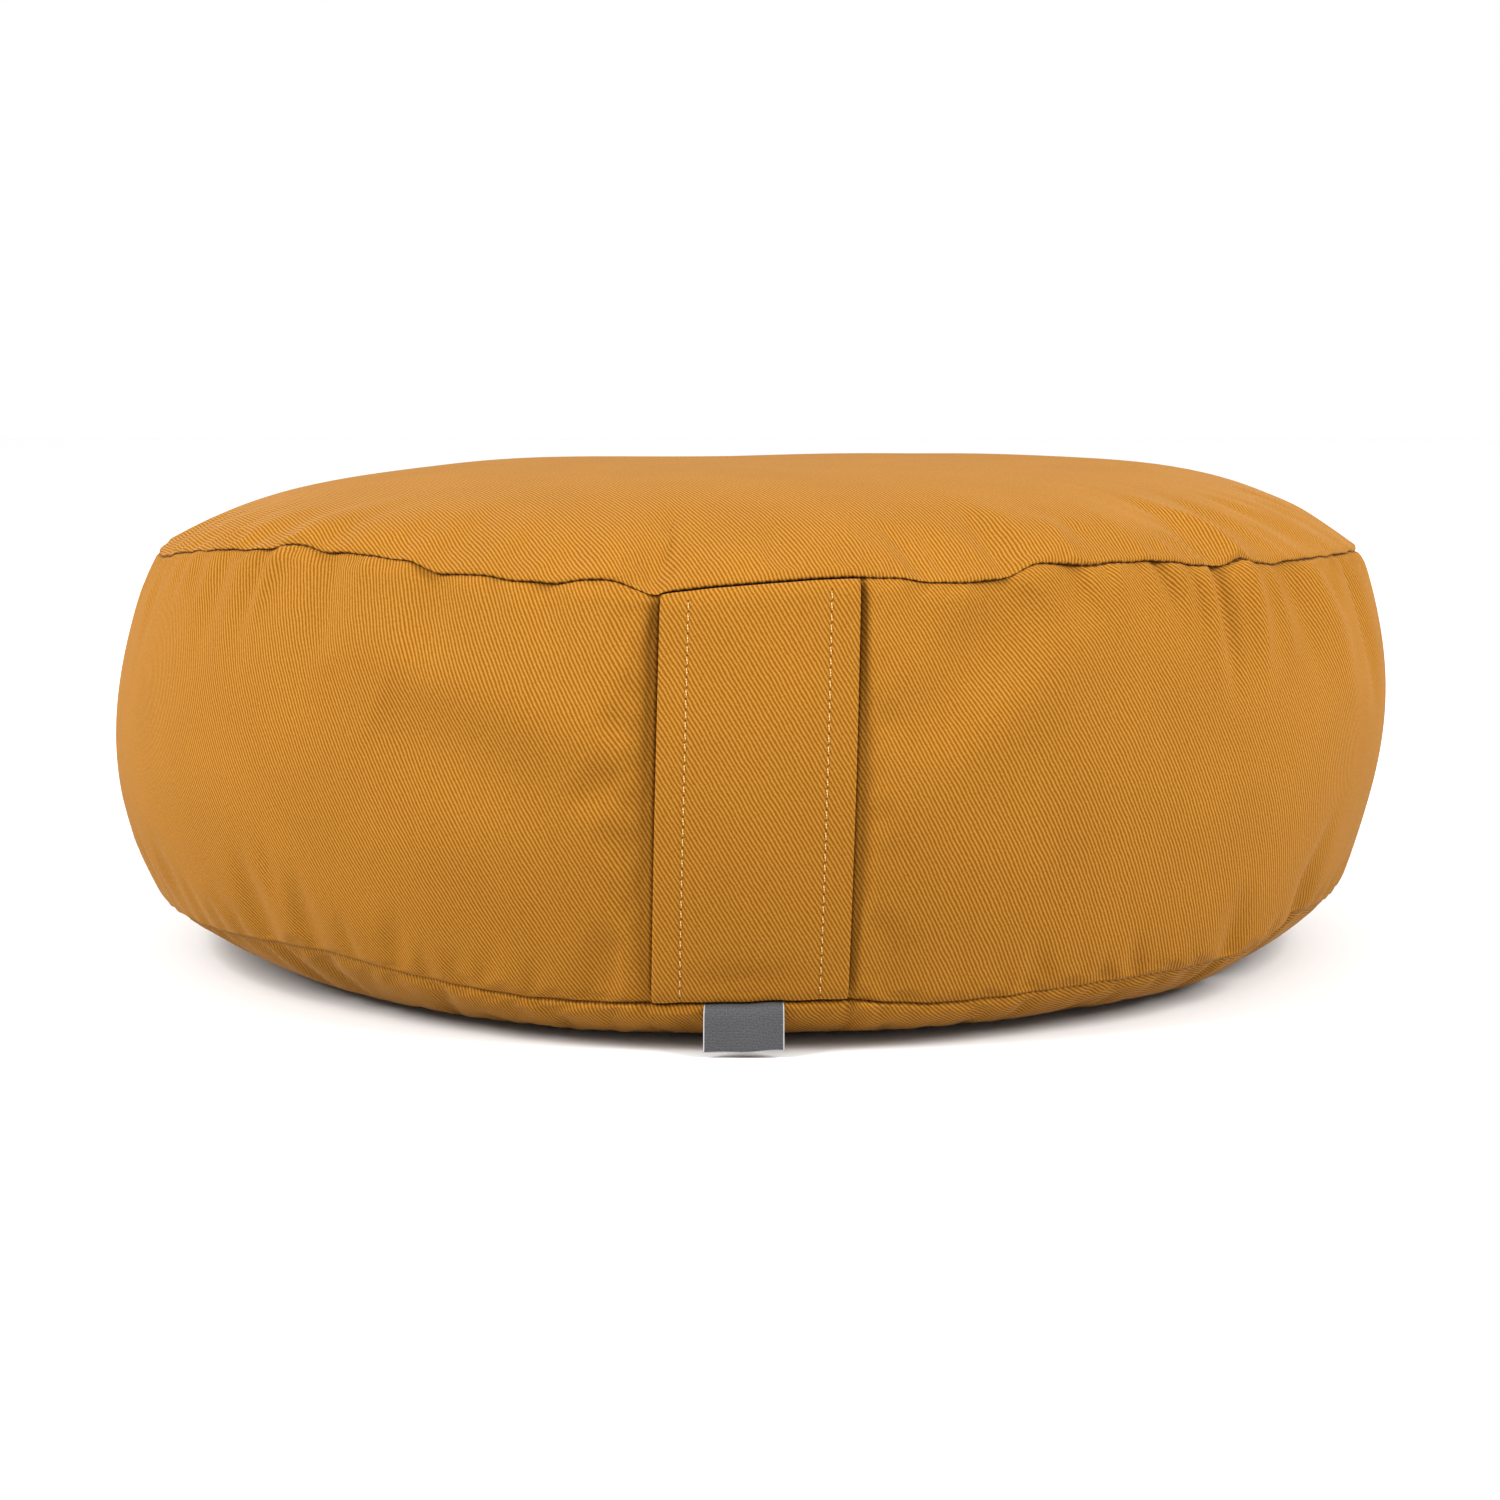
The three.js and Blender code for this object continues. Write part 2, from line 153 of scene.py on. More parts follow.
# Creases that run down from the top seam or up from the bottom one, and the valleys by the strap.
BAND_FOLDS = (
    Fold(-51, 140, -53, 100, 7, -0.8),
    Fold(-46, 142, -47, 104, 6, -1.1),
    Fold(-42, 146, -46, 112, 3.6, 1.3),
    Fold(-37.5, 142, -36, 108, 7, -1),
    Fold(-28, 142, -25, 105, 8, -1),
    Fold(-17, 138, -16, 112, 6, -0.8),
    Fold(-36, 118, -6, 84, 11, 1.4),
    Fold(29, 122, 14, 78, 10, 0.9),
    Fold(-30, 96, -12, 66, 14, -0.9),
    Fold(22, 132, 9, 76, 12, -1.8),
    Fold(13, 134, 13, 108, 6, -0.8),
    Fold(27, 142, 26.5, 116, 5, -1),
    Fold(30.5, 142, 30, 112, 5, 0.9),
    Fold(35.2, 142, 36.6, 120, 2.6, -1.3),
    Fold(37.4, 142, 38.4, 122, 3.4, 0.7),
    Fold(40.4, 142, 40.2, 96, 3.4, 1),
    Fold(42.7, 146, 42, 92, 3, -1.7),
    Fold(46.2, 146, 46, 96, 4, 1.3),
    Fold(52, 142, 55, 92, 6, -1.2),
    Fold(56, 140, 62, 84, 7, 1.1),
    Fold(66, 140, 70, 80, 7, -1.3),
    Fold(-47, 19.5, -45, 44, 7, -0.7),
    Fold(-40, 20, -41, 40, 6, -0.6),
    Fold(47, 15.5, 45, 40, 7, -1),
    Fold(60, 20, 57, 46, 7, -1.2),
    Fold(84, 138, 86, 98, 8, -1.1),
    Fold(105, 138, 107, 98, 9, -1.5),
    Fold(121, 142, 119, 94, 8, 1.4),
    Fold(143, 140, 146, 102, 9, -1.4),
    Fold(168, 140, 165, 96, 9, -1.7),
    Fold(193, 140, 195, 102, 8, 1.3),
    Fold(214, 138, 211, 96, 10, -1.6),
    Fold(236, 142, 238, 100, 9, -1.5),
    Fold(255, 138, 253, 102, 8, 1.2),
    Fold(270, 138, 272, 98, 9, -1.2),
    Fold(88, 17, 86, 46, 9, -1.2),
    Fold(112, 17, 110, 48, 10, -1.4),
    Fold(158, 18, 160, 50, 10, -1.5),
    Fold(205, 18.5, 204, 48, 10, -1.4),
    Fold(248, 18, 250, 48, 10, -1.5),
)
# Small puckers just below the top seam.
FINE_FOLDS = (
    Fold(29.8, 141, 30.2, 121, 2.4, -0.6),
    Fold(-33, 142, -33, 118, 3, 0.5),
    Fold(-21, 138, -20.5, 116, 3, -0.4),
    Fold(-12.5, 138, -12.5, 116, 3, -0.4),
    Fold(17.5, 137, 17.5, 120, 3, 0.4),
    Fold(28.5, 142, 28.5, 122, 2.5, 0.45),
    Fold(33.5, 141, 33.8, 118, 3, -0.45),
    Fold(39, 141, 39, 112, 2.5, -0.5),
    Fold(49.5, 140, 50.5, 100, 3, 0.6),
)
# Creases of the bottom panel, most of them beside the tag.
ROLL_FOLDS = (
    Fold(8.2, 16, 8.8, 1, 1.7, -0.55),
    Fold(9.6, 15, 10, 2, 1.5, 0.35),
    Fold(10.8, 14, 12.4, 2, 2.4, -0.5),
    Fold(-11.4, 14, -12.2, 2, 2.6, -0.35),
    Fold(-27, 16, -30, 3, 5, -0.3),
    Fold(33, 15, 36, 3, 6, -0.3),
)
TOP_PUCKERS = (
    Pucker(-58, 30, 8, -1), Pucker(-47, 34, 8, -1.2), Pucker(-30, 30, 8, -1), Pucker(-8, 22, 5, -1.2),
    Pucker(14, 26, 8, -1), Pucker(22, 30, 7, -1.2), Pucker(28, 26, 6, 0.9), Pucker(42, 24, 4, -1.3),
    Pucker(46.5, 28, 5, 1), Pucker(60, 26, 7, -0.7), Pucker(108, 26, 7, -0.9), Pucker(133, 34, 9, -1.2),
    Pucker(166, 30, 9, -1.2), Pucker(199, 34, 9, -1.3), Pucker(229, 30, 9, -1.1), Pucker(262, 32, 9, -1.3),
)
CROWN_SWELLS = (
    Swell(92, 140, 50, 1.6),
    Swell(-104, 158, 48, -2.4),
    Swell(195, 88, 46, -1.7),
    Swell(-20, 20, 50, -0.6),
    Swell(110, 80, 30, 0.7),
)
DRIFTS = (
    Drift(-40, 152, 54, 26, -9.0),
    Drift(30, 152, 72, 26, 5.5),
    Drift(-40, 6, 60, 26, -3.5),
    Drift(62, 6, 36, 30, 3.5),
)
SEAM_RIPPLES = (
    Ripple(61, 0.16, 1.0),
    Ripple(97, 0.14, 0.0),
)


def turned(azimuth: Array) -> Array:
    """Brings azimuths into the half turn on either side of the strap."""
    return (np.asarray(azimuth) + 180.0) % 360.0 - 180.0


def bell(distance: Array, width: float) -> Array:
    """One at no distance, and soft to nothing over a few widths."""
    return np.exp(-((np.asarray(distance) / width) ** 2))


def mix(start: Array, end: Array, share: Array) -> Array:
    """The value a share of the way from start to end."""
    return start + (end - start) * share


def smooth(value: Array, low: Array, high: Array) -> Array:
    """Eases from 0 at low to 1 at high."""
    share = np.clip((value - low) / (high - low), 0.0, 1.0)
    return share * share * (3.0 - 2.0 * share)


def swell_along(share: Array) -> Array:
    """Rises from 0 and falls back to 0 along a fold, with its height a third of the way along."""
    return np.sin(math.pi * np.clip(share, 0.0, 1.0) ** 0.6)


class RimCurve:
    """One column of a table as a smooth function of the azimuth, closed after one turn."""

    def __init__(self, azimuths: Sequence[float], values: Sequence[float]) -> None:
        """Lays the knots out over three turns, so that the middle one has neighbours on both sides.

        Args:
            azimuths: Knot azimuths in degrees, rising, within one turn.
            values: The value at each knot.
        """
        one_turn = np.asarray(azimuths, float)
        self.azimuths = np.concatenate([one_turn - 360.0, one_turn, one_turn + 360.0])
        self.values = np.tile(np.asarray(values, float), 3)
        rises = self.values[2:] - self.values[:-2]
        runs = self.azimuths[2:] - self.azimuths[:-2]
        # The outermost two knots lie outside the turn that is used, so any slope does for them.
        self.slopes = np.pad(rises / runs, 1)
        self.first = float(one_turn[0])

    def __call__(self, azimuth: Array) -> Array:
        """Evaluates the curve.

        Args:
            azimuth: Azimuths in degrees.

        Returns:
            The values there.
        """
        wanted = self.first + (np.asarray(azimuth, float) - self.first) % 360.0
        index = np.clip(np.searchsorted(self.azimuths, wanted, "right") - 1, 0, len(self.azimuths) - 2)
        span = self.azimuths[index + 1] - self.azimuths[index]
        t = (wanted - self.azimuths[index]) / span
        rise = self.values[index + 1] - self.values[index]
        start = self.slopes[index] * span
        end = self.slopes[index + 1] * span
        return (self.values[index] + t * start + t ** 2 * (3 * rise - 2 * start - end)
                + t ** 3 * (start + end - 2 * rise))


@dataclass
class CoverShape:
    """The filled cover's form, which the strap and the tag also follow."""

    # Seams
    mean_seam_height: float = 134.0
    seam_draw: float = 32.0
    ripple_calm: float = 9.0
    bottom_ripple: float = 0.6
    bottom_ripple_turn: float = 40.0
    groove_depth: float = 1.0
    groove_width: float = 2.6
    slot_depth: float = 1.25
    slot_width: float = 0.52
    # Top panel, bottom panel and band
    crown: float = 25.6
    crown_power: float = 0.8
    roll_power: float = 2.35
    roll_fullness: float = 3.6
    roll_behind: float = -0.7
    roll_front: float = 28.0
    band_mid_radius: float = 205.0
    fold_gain: float = 2.0
    pucker_gain: float = 1.8
    swell_fade: float = 20.0
    # Strap, and the band's valleys, pinches and dark gaps beside it
    strap_width: float = 55.6
    strap_thickness: float = 2.0
    strap_bulge: float = 8.5
    strap_proud: float = 0.8
    strap_centre: float = 0.4
    strap_lean: float = 0.85
    strap_influence: float = 25.0
    strap_side_room: float = 0.8
    valley_left: float = 20.0
    valley_right: float = 8.0
    valley_at_seams: float = 0.28
    pinch_left: float = 1.4
    pinch_right: float = 0.6
    pinch_width: float = 4.2
    pinch_past: float = 0.6
    pinch_from_left: float = 0.3
    pinch_from_right: float = 0.6
    pinch_rise: tuple[float, float] = (-0.2, 0.4)
    edge_gap: float = 2.2
    edge_gap_width: float = 0.8
    edge_gap_past: float = -0.2
    edge_gap_below: float = 0.5
    edge_gap_rise: float = 0.35
    edge_gap_closing: float = 0.05
    pinch_closing: float = 0.04
    gap: float = 0.35
    # Curves round the rim
    top_course: RimCurve = field(init=False)
    bottom_course: RimCurve = field(init=False)
    top_radius: RimCurve = field(init=False)
    bottom_radius: RimCurve = field(init=False)
    bulge: RimCurve = field(init=False)
    peak: RimCurve = field(init=False)
    rest_radius: RimCurve = field(init=False)
    fullness: RimCurve = field(init=False)

    def __post_init__(self) -> None:
        """Makes the curves from the tables of the seams and the rim."""
        self.top_course = RimCurve(*zip(*TOP_SEAM))
        self.bottom_course = RimCurve(*zip(*BOTTOM_SEAM))
        azimuths = [row.azimuth for row in RIM]
        for name in RimRow._fields[1:]:
            setattr(self, name, RimCurve(azimuths, [getattr(row, name) for row in RIM]))

    def wobble(self, azimuth: Array) -> Array:
        """How far a seam wanders as the cloth is eased into it, over a few stitches at a time.

        Args:
            azimuth: Azimuths in degrees.

        Returns:
            Heights to add to the seam's, none at the strap.
        """
        angle = np.radians(azimuth)
        waves = sum(ripple.height * np.sin(ripple.count * angle + ripple.phase) for ripple in SEAM_RIPPLES)
        return waves * (1.0 - bell(turned(azimuth), self.ripple_calm))

    def top_seam(self, azimuth: Array) -> Array:
        """Height of the top seam."""
        return self.top_course(azimuth) + self.wobble(azimuth)

    def bottom_seam(self, azimuth: Array) -> Array:
        """Height of the bottom seam."""
        ripples = self.bottom_ripple * self.wobble(azimuth + self.bottom_ripple_turn)
        return self.bottom_course(azimuth) + ripples

    def strap_radius(self, azimuth: Array, share: Array) -> Array:
        """Radius of the strap's outer face at a share of the band's height."""
        seam = mix(self.bottom_radius(azimuth), self.top_radius(azimuth), share)
        return seam + self.strap_proud + self.strap_bulge * np.sin(math.pi * share)

    def lean(self, share: Array) -> Array:
        """Azimuth of the strap's middle at a share of the band's height."""
        return self.strap_centre + self.strap_lean * (share - 0.5)

    def past_strap_edge(self, azimuth: Array, share: Array) -> Array:
        """Distance past the strap's nearer edge, below zero under the strap."""
        around = np.radians(np.abs(turned(azimuth - self.lean(share))))
        return around * self.strap_radius(0.0, share) - self.strap_width / 2

    def column_azimuth(self, nominal: Array, share: Array) -> Array:
        """Azimuth of a mesh column, which leans with the strap where it is near it.

        Args:
            nominal: The column's azimuth before it leans.
            share: Share of the band's height.

        Returns:
            Azimuths in degrees.
        """
        near = bell(turned(nominal), self.strap_influence)
        narrowing = self.band_mid_radius / self.strap_radius(0.0, share) - 1.0
        return nominal * (1.0 + near * narrowing) + near * self.lean(share)

    def fold_depth(self, folds: Sequence[Fold], azimuth: Array, height: Array) -> Array:
        """Sum of what folds add to a radius.

        Args:
            folds: The folds.
            azimuth: Azimuths in degrees.
            height: Heights.

        Returns:
            What to add to the radius.
        """
        total = np.zeros(np.broadcast(azimuth, height).shape)
        for fold in folds:
            depth = fold.depth * self.fold_gain
            around = math.radians(fold.to_azimuth - fold.azimuth) * self.band_mid_radius
            up = fold.to_height - fold.height
            length = math.hypot(around, up)
            x = np.radians(turned(azimuth - fold.azimuth)) * self.band_mid_radius
            y = height - fold.height
            along = (x * around + y * up) / length ** 2
            across = (x * up - y * around) / length
            total += depth * swell_along(along) * bell(across, fold.width)
        return total

    def band_radius(self, azimuth: Array, share: Array, height: Array) -> Array:
        """Radius of the band, recessed under the strap and drawn in beside it.

        Args:
            azimuth: Azimuths in degrees.
            share: Share of the band's height.
            height: Heights.

        Returns:
            Radii without the seam channels.
        """
        seam = mix(self.bottom_radius(azimuth), self.top_radius(azimuth), share)
        skew = math.log(0.5) / np.log(self.peak(azimuth))
        free = seam + self.bulge(azimuth) * np.sin(math.pi * share ** skew)
        free = free + self.fold_depth(BAND_FOLDS + FINE_FOLDS, azimuth, height)
        on_left = turned(azimuth) < self.strap_centre
        widest = np.where(on_left, self.valley_left, self.valley_right)
        valley = widest * mix(self.valley_at_seams, 1.0, np.sin(math.pi * share) ** 2)
        under_strap = self.strap_radius(azimuth, share) - self.strap_thickness - self.gap
        past = self.past_strap_edge(azimuth, share)
        opening = smooth(past, self.strap_side_room, self.strap_side_room + valley)
        deepest = np.where(on_left, self.pinch_left, self.pinch_right)
        lowest = np.where(on_left, self.pinch_from_left, self.pinch_from_right)
        pinch = deepest * bell(past - self.pinch_past, self.pinch_width)
        pinch = pinch * smooth(share, lowest + self.pinch_rise[0], lowest + self.pinch_rise[1])
        # The dark gap along the strap's edge is deeper higher up, and closes at both seams.
        deep = mix(self.edge_gap_below, 1.0, smooth(share, lowest, lowest + self.edge_gap_rise))
        gap = self.edge_gap * bell(past - self.edge_gap_past, self.edge_gap_width) * deep
        gap = gap * smooth(share, 0.0, self.edge_gap_closing)
        drawn = (pinch + gap) * smooth(1.0 - share, 0.0, self.pinch_closing)
        return mix(under_strap, free, opening) - drawn

    def groove(self, distance: Array) -> Array:
        """How far the cloth is drawn in at a distance from a seam: a soft hollow with a narrow slot in it."""
        hollow = self.groove_depth * bell(distance, self.groove_width)
        return hollow + self.slot_depth * np.exp(-np.abs(distance) / self.slot_width)

    def band_point(self, nominal: Array, share: Array) -> tuple[Array, Array, Array]:
        """Places the band's face.

        Args:
            nominal: Azimuths of the columns before they lean.
            share: Share of the way from the bottom seam to the top seam.

        Returns:
            Azimuth, radius and height.
        """
        azimuth = self.column_azimuth(nominal, share)
        low, high = self.bottom_seam(azimuth), self.top_seam(azimuth)
        height = mix(low, high, share)
        turn_in = self.groove(height - low) + self.groove(high - height)
        return azimuth, self.band_radius(azimuth, share, height) - turn_in, height

    def roll_point(self, nominal: Array, share: Array) -> tuple[Array, Array, Array]:
        """Places the bottom panel where it rolls up from its flat to its seam.

        Args:
            nominal: Azimuths of the columns before they lean.
            share: Share of the way from the flat to the seam.

        Returns:
            Azimuth, radius and height.
        """
        azimuth = self.column_azimuth(nominal, np.zeros_like(share))
        seam_height = self.bottom_seam(azimuth)
        seam_radius = self.band_radius(azimuth, np.zeros_like(share), seam_height)
        radius = mix(self.rest_radius(azimuth), seam_radius, share)
        height = seam_height * share ** self.roll_power
        front = bell(turned(azimuth), self.roll_front)
        fullness = self.roll_fullness * mix(self.roll_behind, 1.0, front) * share
        fullness = fullness * swell_along(1.0 - height / seam_height)
        fullness = fullness + self.fold_depth(ROLL_FOLDS, azimuth, height)
        return azimuth, radius + fullness - self.groove(seam_height - height), height

    def base_point(self, nominal: Array, share: Array) -> tuple[Array, Array, Array]:
        """Azimuth, radius and height of the flat that the cushion rests on."""
        azimuth = self.column_azimuth(nominal, np.zeros_like(share))
        return azimuth, self.rest_radius(azimuth) * share, np.zeros(azimuth.shape)

    def crown_point(self, nominal: Array, share: Array) -> tuple[Array, Array, Array]:
        """Places the top panel.

        Args:
            nominal: Azimuths of the columns before they lean.
            share: Share of the way from the panel's middle to its seam.

        Returns:
            Azimuth, radius and height.
        """
        azimuth = self.column_azimuth(nominal, np.ones_like(share))
        seam_radius = self.top_radius(azimuth)
        radius = seam_radius * share
        inward = seam_radius * (1.0 - share)
        height = mix(self.mean_seam_height, self.top_seam(azimuth), bell(inward, self.seam_draw))
        rise = self.crown * (1.0 - share ** self.fullness(azimuth)) ** self.crown_power
        height = height + rise
        x = radius * np.sin(np.radians(azimuth))
        y = -radius * np.cos(np.radians(azimuth))
        for swell in CROWN_SWELLS:
            at = math.radians(swell.azimuth)
            away = np.hypot(x - swell.radius * math.sin(at), y + swell.radius * math.cos(at))
            fade = np.minimum(1.0, inward / self.swell_fade)
            height = height + swell.height * bell(away, swell.spread) * fade
        for pucker in TOP_PUCKERS:
            across = np.radians(turned(azimuth - pucker.azimuth)) * seam_radius
            height = height + (self.pucker_gain * pucker.depth * swell_along(inward / pucker.reach)
                               * bell(across, pucker.width))
        return azimuth, radius - self.groove(np.hypot(inward, rise)), height


def halved(values: Array, closed: bool) -> Array:
    """Puts a smooth row halfway between each two rows.

    Args:
        values: Rows of values.
        closed: Whether the last row is followed by the first.

    Returns:
        The old rows with the new ones between them.
    """
    ends = (values[-1:], values[:2]) if closed else (values[:1], values[-1:])
    wide = np.concatenate([ends[0], values, ends[1]])
    # Each new row lies on the cubic through the four rows round it.
    middle = (9.0 * (wide[1:-2] + wide[2:-1]) - wide[:-3] - wide[3:]) / 16.0
    result = np.empty((len(values) + len(middle), *values.shape[1:]))
    result[0::2], result[1::2] = values, middle
    return result


def on_rim(azimuth: Array, radius: Array, height: Array) -> Array:
    """Points in metres from azimuths in degrees and radii and heights in millimetres."""
    angle = np.radians(azimuth)
    return np.stack([radius * np.sin(angle), -radius * np.cos(angle), height], -1) * MM


class Panel(Enum):
    """The cut pieces of the cover, each with its own run of the weave."""

    BOTTOM = 0
    BAND = 1
    TOP = 2


def linear(colour: str) -> tuple[float, float, float, float]:
    """Turns an sRGB hex colour into linear values with full alpha."""
    channels = (int(colour.lstrip("#")[i:i + 2], 16) / 255 for i in (0, 2, 4))
    return (*(c / 12.92 if c <= 0.04045 else ((c + 0.055) / 1.055) ** 2.4 for c in channels), 1.0)


def add_node(tree: bpy.types.NodeTree, kind: str, inputs: dict[Any, Any] | None = None,
             **settings: Any) -> bpy.types.Node:
    """Adds a shader node with its settings, and sets or links its inputs.

    Args:
        tree: The node tree.
        kind: The node's type name after "ShaderNode".
        inputs: Socket name or number to a value, or to the socket or node that it is linked from. A node
            stands for its first output.
        settings: Properties of the node itself.

    Returns:
        The new node.
    """
    made = tree.nodes.new("ShaderNode" + kind)
    for name, value in settings.items():
        setattr(made, name, value)
    for name, value in (inputs or {}).items():
        source = value.outputs[0] if isinstance(value, bpy.types.Node) else value
        if isinstance(source, bpy.types.NodeSocket):
            tree.links.new(source, made.inputs[name])
        else:
            made.inputs[name].default_value = source
    return made


def new_material(name: str, colour: str) -> bpy.types.Material:
    """Makes an empty node material.

    Args:
        name: The material's name.
        colour: Its colour in the viewport, as sRGB hex.

    Returns:
        The material.
    """
    material = bpy.data.materials.new(name)
    material.use_nodes = True
    material.node_tree.nodes.clear()
    material.diffuse_color = linear(colour)
    return material


@dataclass(frozen=True)
class CottonTwill:
    """Piece-dyed cotton twill, woven with diagonal wales.

    Cotton is matt, so there is no coat and little gloss. The wales stand a little proud over a small bump,
    and the light along their tops and the shade in the lines between are painted into the colour. Fibre ends
    give a soft sheen where the surface turns away. Painted shade darkens the cloth in the crevice where it
    turns into a seam, with the seam thread's dark colour, and round the holes where a needle has gone through
    it.
    """

    name: str
    # Painted light on the wales' tops and painted shade in the lines between them.
    lit_wale_colour: str = "#906422"
    shaded_line_colour: str = "#704103"
    # The colour of the painted seam and hole shade, with the seam thread's dark colour.
    shade_and_thread_colour: str = "#361802"
    sheen_colour: str = "#F2CC96"
    sheen: float = 0.12
    roughness: float = 0.9
    period_across: float = 1.21
    period_up: float = 2.24
    wale_height: float = 0.1
    wale_share: float = 0.34
    float_share: float = 0.6
    float_length: float = 1.333
    float_width: float = 0.769
    line_until: float = 0.28
    wale_from: float = 0.74
    slub_length: float = 7.69
    slub_push: float = 0.8
    dye_patch: float = 33.33
    dye_shade: float = 0.035
    stitch_pitch: float = 3.0
    seam_reach: float = 0.768
    seam_pull: float = 0.24
    seam_dark: float = 0.92
    stitch_line: float = 0.0
    hole_core: float = 0.136
    hole_reach: float = 0.442
    hole_dark: float = 0.8

    def make(self) -> bpy.types.Material:
        """Builds the node material, which reads the cloth's own coordinates in millimetres from "weave".

        Returns:
            The material.
        """
        material = new_material(self.name, self.lit_wale_colour)
        tree = material.node_tree
        weave = add_node(tree, "Attribute", attribute_name="weave")
        height = self.wales(tree, weave.outputs["Vector"])
        # The wales' height also picks the colour: the light on their tops and the shade in the lines between
        # are painted.
        share = add_node(tree, "MapRange", {"Value": height, "From Min": self.line_until,
                                            "From Max": self.wale_from}, interpolation_type="SMOOTHSTEP")
        colour = add_node(tree, "MixRGB", {0: share, 1: linear(self.shaded_line_colour),
                                           2: linear(self.lit_wale_colour)})
        # The dye takes a little unevenly, a few centimetres at a time.
        cloud = add_node(tree, "TexNoise", {"Vector": weave.outputs["Vector"], "Scale": 1.0 / self.dye_patch,
                                            "Detail": 3.0})
        shade = add_node(tree, "MapRange", {"Value": cloud.outputs["Fac"], "From Min": 0.3, "From Max": 0.7,
                                            "To Min": 1.0 - self.dye_shade, "To Max": 1.0 + self.dye_shade})
        tone = add_node(tree, "HueSaturation", {"Value": shade, "Color": colour})
        # Painted shade where the cloth turns into a seam, or round the strap's needle holes.
        sewn = self.hole_shade(tree) if self.stitch_line else self.seam_shade(tree)
        darkened = add_node(tree, "MixRGB", {0: sewn, 1: tone, 2: linear(self.shade_and_thread_colour)})
        bump = add_node(tree, "Bump", {"Height": height, "Strength": 1.0, "Distance": self.wale_height * MM})
        skin = add_node(tree, "BsdfPrincipled", {
            "Base Color": darkened, "Roughness": self.roughness, "IOR": 1.46, "Specular IOR Level": 0.1,
            "Sheen Weight": self.sheen, "Sheen Roughness": 0.3, "Sheen Tint": linear(self.sheen_colour),
            "Normal": bump})
        add_node(tree, "OutputMaterial", {"Surface": skin})
        return material

    def wales(self, tree: bpy.types.NodeTree, place: bpy.types.NodeSocket) -> bpy.types.Node:
        """Draws the wales.

        Args:
            tree: The node tree.
            place: Cloth coordinates.

        Returns:
            A node whose value runs from 0 in the lines between the wales to 1 along their tops.
        """
        axes = add_node(tree, "SeparateXYZ", {0: place})
        slub = add_node(tree, "TexNoise", {"Vector": place, "Scale": 1.0 / self.slub_length, "Detail": 2.0})
        wander = add_node(tree, "Math", {0: slub.outputs["Fac"], 1: self.slub_push}, operation="MULTIPLY")
        across = add_node(tree, "Math", {0: axes.outputs["X"], 1: 1.0 / self.period_across, 2: wander},
                          operation="MULTIPLY_ADD")
        phase = add_node(tree, "Math", {0: axes.outputs["Y"], 1: 1.0 / self.period_up, 2: across},
                         operation="MULTIPLY_ADD")
        turn = add_node(tree, "Math", {0: phase, 1: math.tau}, operation="MULTIPLY")
        wave = add_node(tree, "Math", {0: turn}, operation="SINE")
        # Yarn crossings break the wales up. They are drawn about twice as coarse as the 0.4 mm yarns, which
        # would not show.
        lean = math.atan2(self.period_up, self.period_across)
        scale = (1.0 / self.float_length, 1.0 / self.float_width, 1.0)
        crossing = add_node(tree, "Mapping", {"Vector": place, "Rotation": (0.0, 0.0, lean), "Scale": scale})
        floats = add_node(tree, "TexNoise", {"Vector": crossing, "Scale": 1.0, "Detail": 1.0,
                                             "Roughness": 0.6})
        half = add_node(tree, "Math", {0: wave, 1: self.wale_share, 2: 0.2}, operation="MULTIPLY_ADD")
        return add_node(tree, "Math", {0: floats.outputs["Fac"], 1: self.float_share, 2: half},
                        operation="MULTIPLY_ADD")

    def seam_shade(self, tree: bpy.types.NodeTree) -> bpy.types.Node:
        """Darkens the cloth where it turns into a seam, in small beats where each stitch pulls at it.

        Args:
            tree: The node tree.

        Returns:
            A node with the share of the painted seam shade, from the distance, run and strength in "seam".
        """
        # Painted shade of the seam's crevice, with the seam thread's dark colour, beating with the stitches.
        seam = add_node(tree, "Attribute", attribute_name="seam")
        axes = add_node(tree, "SeparateXYZ", {0: seam.outputs["Vector"]})
        turn = add_node(tree, "Math", {0: axes.outputs["Y"], 1: math.tau / self.stitch_pitch},
                        operation="MULTIPLY")
        beat = add_node(tree, "Math", {0: turn}, operation="SINE")
        pulled = add_node(tree, "Math", {0: beat, 1: self.seam_pull, 2: axes.outputs["X"]},
                          operation="MULTIPLY_ADD")
        shown = add_node(tree, "Math", {0: axes.outputs["Z"], 1: self.seam_dark}, operation="MULTIPLY")
        return add_node(tree, "MapRange", {"Value": pulled, "From Min": 0.0, "From Max": self.seam_reach,
                                           "To Min": shown, "To Max": 0.0}, interpolation_type="SMOOTHSTEP")

    def hole_shade(self, tree: bpy.types.NodeTree) -> bpy.types.Node:
        """Darkens the cloth round the needle's holes along both stitch lines.

        Args:
            tree: The node tree.

        Returns:
            A node with the share of the painted hole shade, from the places across and along in "stitch".
        """
        # Painted shade in and round the needle's holes.
        stitch = add_node(tree, "Attribute", attribute_name="stitch")
        axes = add_node(tree, "SeparateXYZ", {0: stitch.outputs["Vector"]})
        side = add_node(tree, "Math", {0: axes.outputs["X"]}, operation="ABSOLUTE")
        off = add_node(tree, "Math", {0: side, 1: self.stitch_line}, operation="SUBTRACT")
        beat = add_node(tree, "Math", {0: axes.outputs["Y"], 1: self.stitch_pitch / 2}, operation="PINGPONG")
        pair = add_node(tree, "CombineXYZ", {"X": off, "Y": beat})
        away = add_node(tree, "VectorMath", {0: pair}, operation="LENGTH")
        return add_node(tree, "MapRange", {"Value": away.outputs["Value"], "From Min": self.hole_core,
                                           "From Max": self.hole_reach, "To Min": self.hole_dark,
                                           "To Max": 0.0}, interpolation_type="SMOOTHSTEP")


